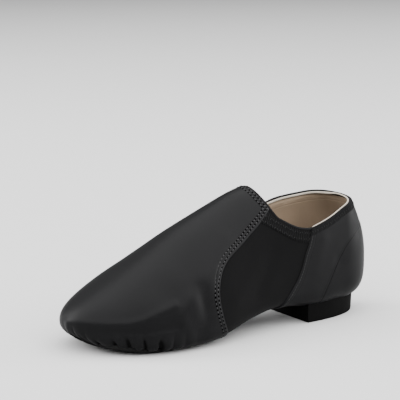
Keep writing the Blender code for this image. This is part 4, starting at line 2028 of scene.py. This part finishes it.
@dataclass
class HeelBlock(Piece):
    """The low D shaped heel with rounded lower edges, a plain border and a dotted tread."""

    flare: float = 0.0008
    border: float = 0.0024
    breast: float = 0.0062
    edge: float = 0.0010
    recess: float = 0.0005
    bed: float = 0.0007
    pitch: float = 0.0030
    dot: float = 0.00062
    margin: float = 0.0009

    def ring(self, inset: float, z: float, front_inset: float | None = None) -> Array:
        """The outline at an inset and a height."""
        outline = self.seams.block_outline(inset, front_inset)
        return np.column_stack([outline, np.full(len(outline), z)])

    def build(self) -> Objects:
        """Makes and dresses the block with its tread.

        Returns:
            The finished objects.
        """
        tread = self.seams.block_outline(self.border, self.breast)
        middle = tread.mean(axis=0)
        rings = []
        for share in np.linspace(0.1, 1, 7):
            spread = middle + (tread - middle) * share * 0.99
            rings.append(np.column_stack([spread, np.full(len(tread), self.recess)]))
        rings.append(self.ring(self.border, 0.0, self.breast))
        for inset, z in ((0.0009, 0.0), (0.00045, 0.00012), (0.00015, 0.00045), (0.0, self.edge)):
            rings.append(self.ring(inset, z))
        for share in np.linspace(0.12, 1, 8):
            grown = self.seams.block_outline(-self.flare * share)
            top = self.last.bottom(np.maximum(grown[:, 0], 0.002), grown[:, 1], 0.0004)
            rings.append(np.column_stack([grown, self.edge + (top - self.edge) * share]))
        inner = self.seams.block_outline(0.004)
        rings.append(np.column_stack([inner, self.last.bottom(inner[:, 0], inner[:, 1], self.bed)]))
        centre = self.seams.block_outline(0.0).mean(axis=0)
        top = float(self.last.bottom(centre[:1], centre[1:], self.bed)[0])
        pieces = [turned_out(*plate(rings, np.append(middle, self.recess), np.append(centre, top)))]
        count = 12
        for i in range(-count, count + 1):
            for j in range(-count, count + 1):
                spot = middle + np.array([(i + 0.5 * (j % 2)) * self.pitch, j * self.pitch * 0.8])
                if self.inside(spot, tread):
                    top = self.recess + 0.0002
                    pieces.append(stud(spot, (self.dot, self.dot), 0.0, 0.00005, top, 0.0002))
        return [self.add("heel_rubber", joined(pieces), BLOCK_RUBBER, "heel_block", sharp=50)]

    def inside(self, spot: Array, outline: Array) -> bool:
        """Whether a plan point lies well inside an outline that bulges all round.

        Args:
            spot: the point.
            outline: the outline's points.

        Returns:
            True if it does.
        """
        ends = np.roll(outline, -1, axis=0)
        run, to = ends - outline, spot - outline
        cross = run[:, 0] * to[:, 1] - run[:, 1] * to[:, 0]
        length = np.maximum(np.linalg.norm(run, axis=1), 1e-9)
        away = cross / length
        return bool((away > self.margin).all() or (away < -self.margin).all())


@dataclass
class Stitching(Piece):
    """Every visible row of thread."""

    straight: Thread = Thread(0.0017, 0.00095, 0.00090, 0.0029)
    # Flat near-black beads of painted shade, set between the straight stitches.
    hole: Thread = Thread(0.0013, 0.0014, 0.00044, 0.0029)
    fine: Thread = Thread(0.0015, 0.00052, 0.00042, 0.0020)
    zigzag: Thread = Thread(0.0020, 0.00050, 0.00044, 0.0021)
    below: float = 0.00004
    slant: float = 0.95
    shortest: int = 5

    def kept(self, line: Line, rule: Rule, low: float) -> list[Line]:
        """Breaks a line where a rule falls under a value.

        Args:
            line: stations and girths of the line's points.
            rule: the rule that has to stay above the value.
            low: that value.

        Returns:
            The stretches that stay.
        """
        good = rule(*line) > low
        found, start = [], None
        for i, keep in enumerate([*good.tolist(), False]):
            if keep and start is None:
                start = i
            elif not keep and start is not None:
                if i - start > self.shortest:
                    found.append((line[0][start:i], line[1][start:i]))
                start = None
        return found

    def by_girth(self, rule: Rule, away: float, girths: Array, low: float, high: float) -> Line:
        """The line at a distance from a rule's edge, found along the stations."""
        return self.last.trace(rule, away, girths, low, high, Free.STATION), girths

    def by_station(self, rule: Rule, away: float, stations: Array, side: Side) -> Line:
        """The line at a distance from a rule's edge, found along the girths of one side."""
        low, high = (1.05, 1.98) if side is Side.OUTER else (2.02, 2.95)
        return stations, self.last.trace(rule, away, stations, low, high, Free.GIRTH)

    def row(self, thread: Thread, line: Line, inset: float, slants: bool = False) -> Shape:
        """One row of stitches, in line or as a zigzag.

        Args:
            thread: the thread.
            line: stations and girths along the row.
            inset: how deep the stitches' middles lie in the form.
            slants: whether the stitches lean to and fro.

        Returns:
            The stitches.
        """
        middles, tangents, outward = row_frames(self.last, line, inset, thread.pitch)
        turn = np.where(np.arange(len(middles)) % 2 == 0, self.slant, -self.slant) if slants else 0.0
        return thread.sew(middles, tangents, outward, turn)

    def gaps(self, line: Line) -> Shape:
        """Dark beads of painted shade in the holes between the stitches of one straight row.

        Args:
            line: stations and girths along the row.

        Returns:
            The holes.
        """
        middles, tangents, outward = row_frames(self.last, line, 0.0, self.straight.pitch)
        between = (middles[:-1] + middles[1:]) / 2
        return self.hole.sew(between, tangents[:-1], outward[:-1])

    def vamp_lines(self) -> list[Line]:
        """The two lines along the vamp's rear edge and the two round the throat.

        Returns:
            The stretches of the lines that show.
        """
        found = []
        for away in SEWN_ROWS:
            for girths in (np.linspace(0.03, 1.97, 320), np.linspace(2.03, 3.97, 320)):
                line = self.by_girth(self.seams.vamp, away, girths, 1.1, 2.3)
                found += self.kept(line, self.seams.top, 0.0012)
        for away in SEWN_ROWS:
            line = self.by_girth(self.seams.throat_front, away, np.linspace(1.5, 2.5, 240), 1.15, 1.95)
            for part in self.kept(line, self.seams.vamp, 0.0010):
                found += self.kept(part, lambda s, g: -self.seams.collar(s, g), -0.0005)
        return found

    def quarter_rows(self) -> list[Shape]:
        """The row along the quarter's front edge and the zigzag rows of its underside.

        Returns:
            The stitches of each row.
        """
        found = []
        for girths in (np.linspace(0.03, 1.97, 320), np.linspace(2.03, 3.97, 320)):
            line = self.by_girth(self.seams.quarter, 0.0016, girths, 0.4, 1.8)
            for part in self.kept(line, self.seams.collar, 0.0056):
                found.append(self.row(self.fine, part, -self.below))
        for girths in (np.linspace(3.35, 3.97, 90), np.linspace(4.03, 4.65, 90) - 4 + 1e-6):
            for away in (0.0028, 0.0048):
                line = self.by_girth(self.seams.quarter, away, girths, 0.4, 1.8)
                found.append(self.row(self.zigzag, line, -0.00006, slants=True))
        return found

    def top_rows(self) -> list[Shape]:
        """The zigzag rows along the binding and the bands.

        Returns:
            The stitches of each row.
        """

        def ahead(station: Array, girth: Array) -> Array:
            """Positive in front of the quarter."""
            return -self.seams.quarter(station, girth)

        found = []
        for side in Side:
            for away, rule, low, inset in (
                (0.0031, self.seams.quarter, 0.0006, -0.00034),
                (0.0030, ahead, 0.0008, 0.00022),
                (0.0072, ahead, 0.0008, 0.00022),
            ):
                line = self.by_station(self.seams.collar, away, np.linspace(0.02, 1.5, 420), side)
                for part in self.kept(line, rule, low):
                    for stretch in self.kept(part, lambda s, g: -self.seams.vamp(s, g), 0.0008):
                        found.append(self.row(self.zigzag, stretch, inset, slants=True))
        return found

    def build(self) -> Objects:
        """Makes and dresses all the rows and the painted shade in the holes between the stitches.

        Returns:
            The finished objects.
        """
        lines = self.vamp_lines()
        rows = [self.row(self.straight, line, self.below) for line in lines]
        made = []
        for name, shapes, finish, node in (
            ("vamp_stitches", rows, THREAD, "vamp"),
            ("quarter_stitches", self.quarter_rows(), THREAD, "quarter"),
            ("top_edge_stitches", self.top_rows(), TOP_THREAD, "quarter"),
            ("needle_hole_shade", [self.gaps(line) for line in lines], NEEDLE_HOLE_SHADE, "vamp"),
        ):
            made.append(self.add(name, joined(shapes), finish, node, sharp=80))
        return made


@dataclass(frozen=True)
class Lamp:
    """One soft square light that faces the shoe, its size in metres and its power in watts."""

    name: str
    place: tuple[float, float, float]
    size: float
    power: float

    def hang(self) -> None:
        """Puts the light in the scene."""
        data = bpy.data.lights.new(self.name, "AREA")
        data.size, data.energy = self.size, self.power
        lamp = bpy.data.objects.new(self.name, data)
        bpy.context.scene.collection.objects.link(lamp)
        lamp.location = self.place
        lamp.rotation_euler = (Vector((0, 0, 0.04)) - Vector(self.place)).to_track_quat("-Z", "Y").to_euler()


@dataclass(frozen=True)
class Studio:
    """The floor, the lights and the camera of the photograph."""

    azimuth: float = 145.0
    elevation: float = 13.5
    distance: float = 1.0
    lens: float = 128.25
    target: tuple[float, float, float] = (0.120, 0.0, 0.040)
    aim_right: float = -0.01509
    aim_up: float = 0.05053
    sensor: float = 36.0
    floor_size: float = 14.0
    floor_tone: float = 0.42
    sky: float = 0.38
    lamps: tuple[Lamp, ...] = (
        Lamp("overhead", (0.3, 0.8, 3.0), 8.0, 1150),
        Lamp("toe side", (1.5, -1.4, 0.9), 1.2, 72),
        Lamp("heel side", (-1.6, 0.75, 0.42), 1.1, 52),
    )

    def back(self) -> Array:
        """Unit vector from the shoe to the camera."""
        around, rise = np.radians(self.azimuth), np.radians(self.elevation)
        return np.array([np.sin(around) * np.cos(rise), -np.cos(around) * np.cos(rise), np.sin(rise)])

    def camera(self, offset: Array) -> None:
        """Sets the camera at the photograph's viewing angle.

        Args:
            offset: where the shoe's own origin lies in the frame.
        """
        back = self.back()
        right = units(np.cross(-back, [0, 0, 1]))
        up = np.cross(right, -back)
        middle = np.array(self.target) + offset
        eye = middle + back * self.distance
        aim = middle + right * self.aim_right + up * self.aim_up
        data = bpy.data.cameras.new("camera")
        data.lens, data.sensor_width = self.lens, self.sensor
        data.clip_start, data.clip_end = 0.05, 60.0
        camera = bpy.data.objects.new("camera", data)
        bpy.context.scene.collection.objects.link(camera)
        camera.location = Vector(eye)
        camera.rotation_euler = Vector(aim - eye).to_track_quat("-Z", "Y").to_euler()
        bpy.context.scene.camera = camera

    def floor(self) -> None:
        """Lays the plain pale floor."""
        book = Book("pale floor")
        tone = self.floor_tone
        book.finish(Base_Color=(tone, tone, tone, 1.0), Roughness=0.9, Specular_IOR_Level=0.1)
        mesh = bpy.data.meshes.new("floor")
        size = self.floor_size
        corners = [(-size, -size, 0), (size, -size, 0), (size, size, 0), (-size, size, 0)]
        mesh.from_pydata(corners, [], [(0, 1, 2, 3)])
        mesh.materials.append(book.made)
        floor = bpy.data.objects.new("floor", mesh)
        bpy.context.scene.collection.objects.link(floor)

    def lights(self) -> None:
        """Sets the even pale surroundings and the soft lights."""
        world = bpy.data.worlds.new("surroundings")
        world.use_nodes = True
        sky = world.node_tree.nodes["Background"]
        sky.inputs["Color"].default_value = (1.0, 1.0, 1.0, 1.0)
        sky.inputs["Strength"].default_value = self.sky
        bpy.context.scene.world = world
        for lamp in self.lamps:
            lamp.hang()


def shoe_offset(last: Last) -> Array:
    """Where the shoe's own origin lies in the frame.

    Args:
        last: the shoe's form.

    Returns:
        The offset that brings the form onto the solids.
    """
    low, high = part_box("vamp")
    stations = np.linspace(1, 3, 801)
    outer = last.place(stations, np.full_like(stations, 1.0))[:, 1].max()
    inner = last.place(stations, np.full_like(stations, 3.0))[:, 1].min()
    return np.array([-last.length / 2, (low[1] + high[1]) / 2 - (outer + inner) / 2, 0.0])


def main() -> None:
    """Builds the shoe piece by piece, reports each one and sets the scene."""
    logging.basicConfig(level=logging.INFO, format="%(name)s: %(message)s")
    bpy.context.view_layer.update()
    last = Last()
    seams = Seams(last)
    offset = shoe_offset(last)
    shop = Workshop(offset)
    kinds = (Vamp, Quarter, StretchBody, Lining, ElasticBands, CollarBinding)
    kinds += (Insole, ForefootSole, HeelBlock, Stitching)
    for kind in kinds:
        for obj in kind(last, seams, shop).build():
            LOG.info("%s: %s, %d faces", kind.__name__, obj.name, len(obj.data.polygons))
    studio = Studio()
    studio.floor()
    studio.lights()
    studio.camera(offset)


if __name__ == "__main__":
    main()
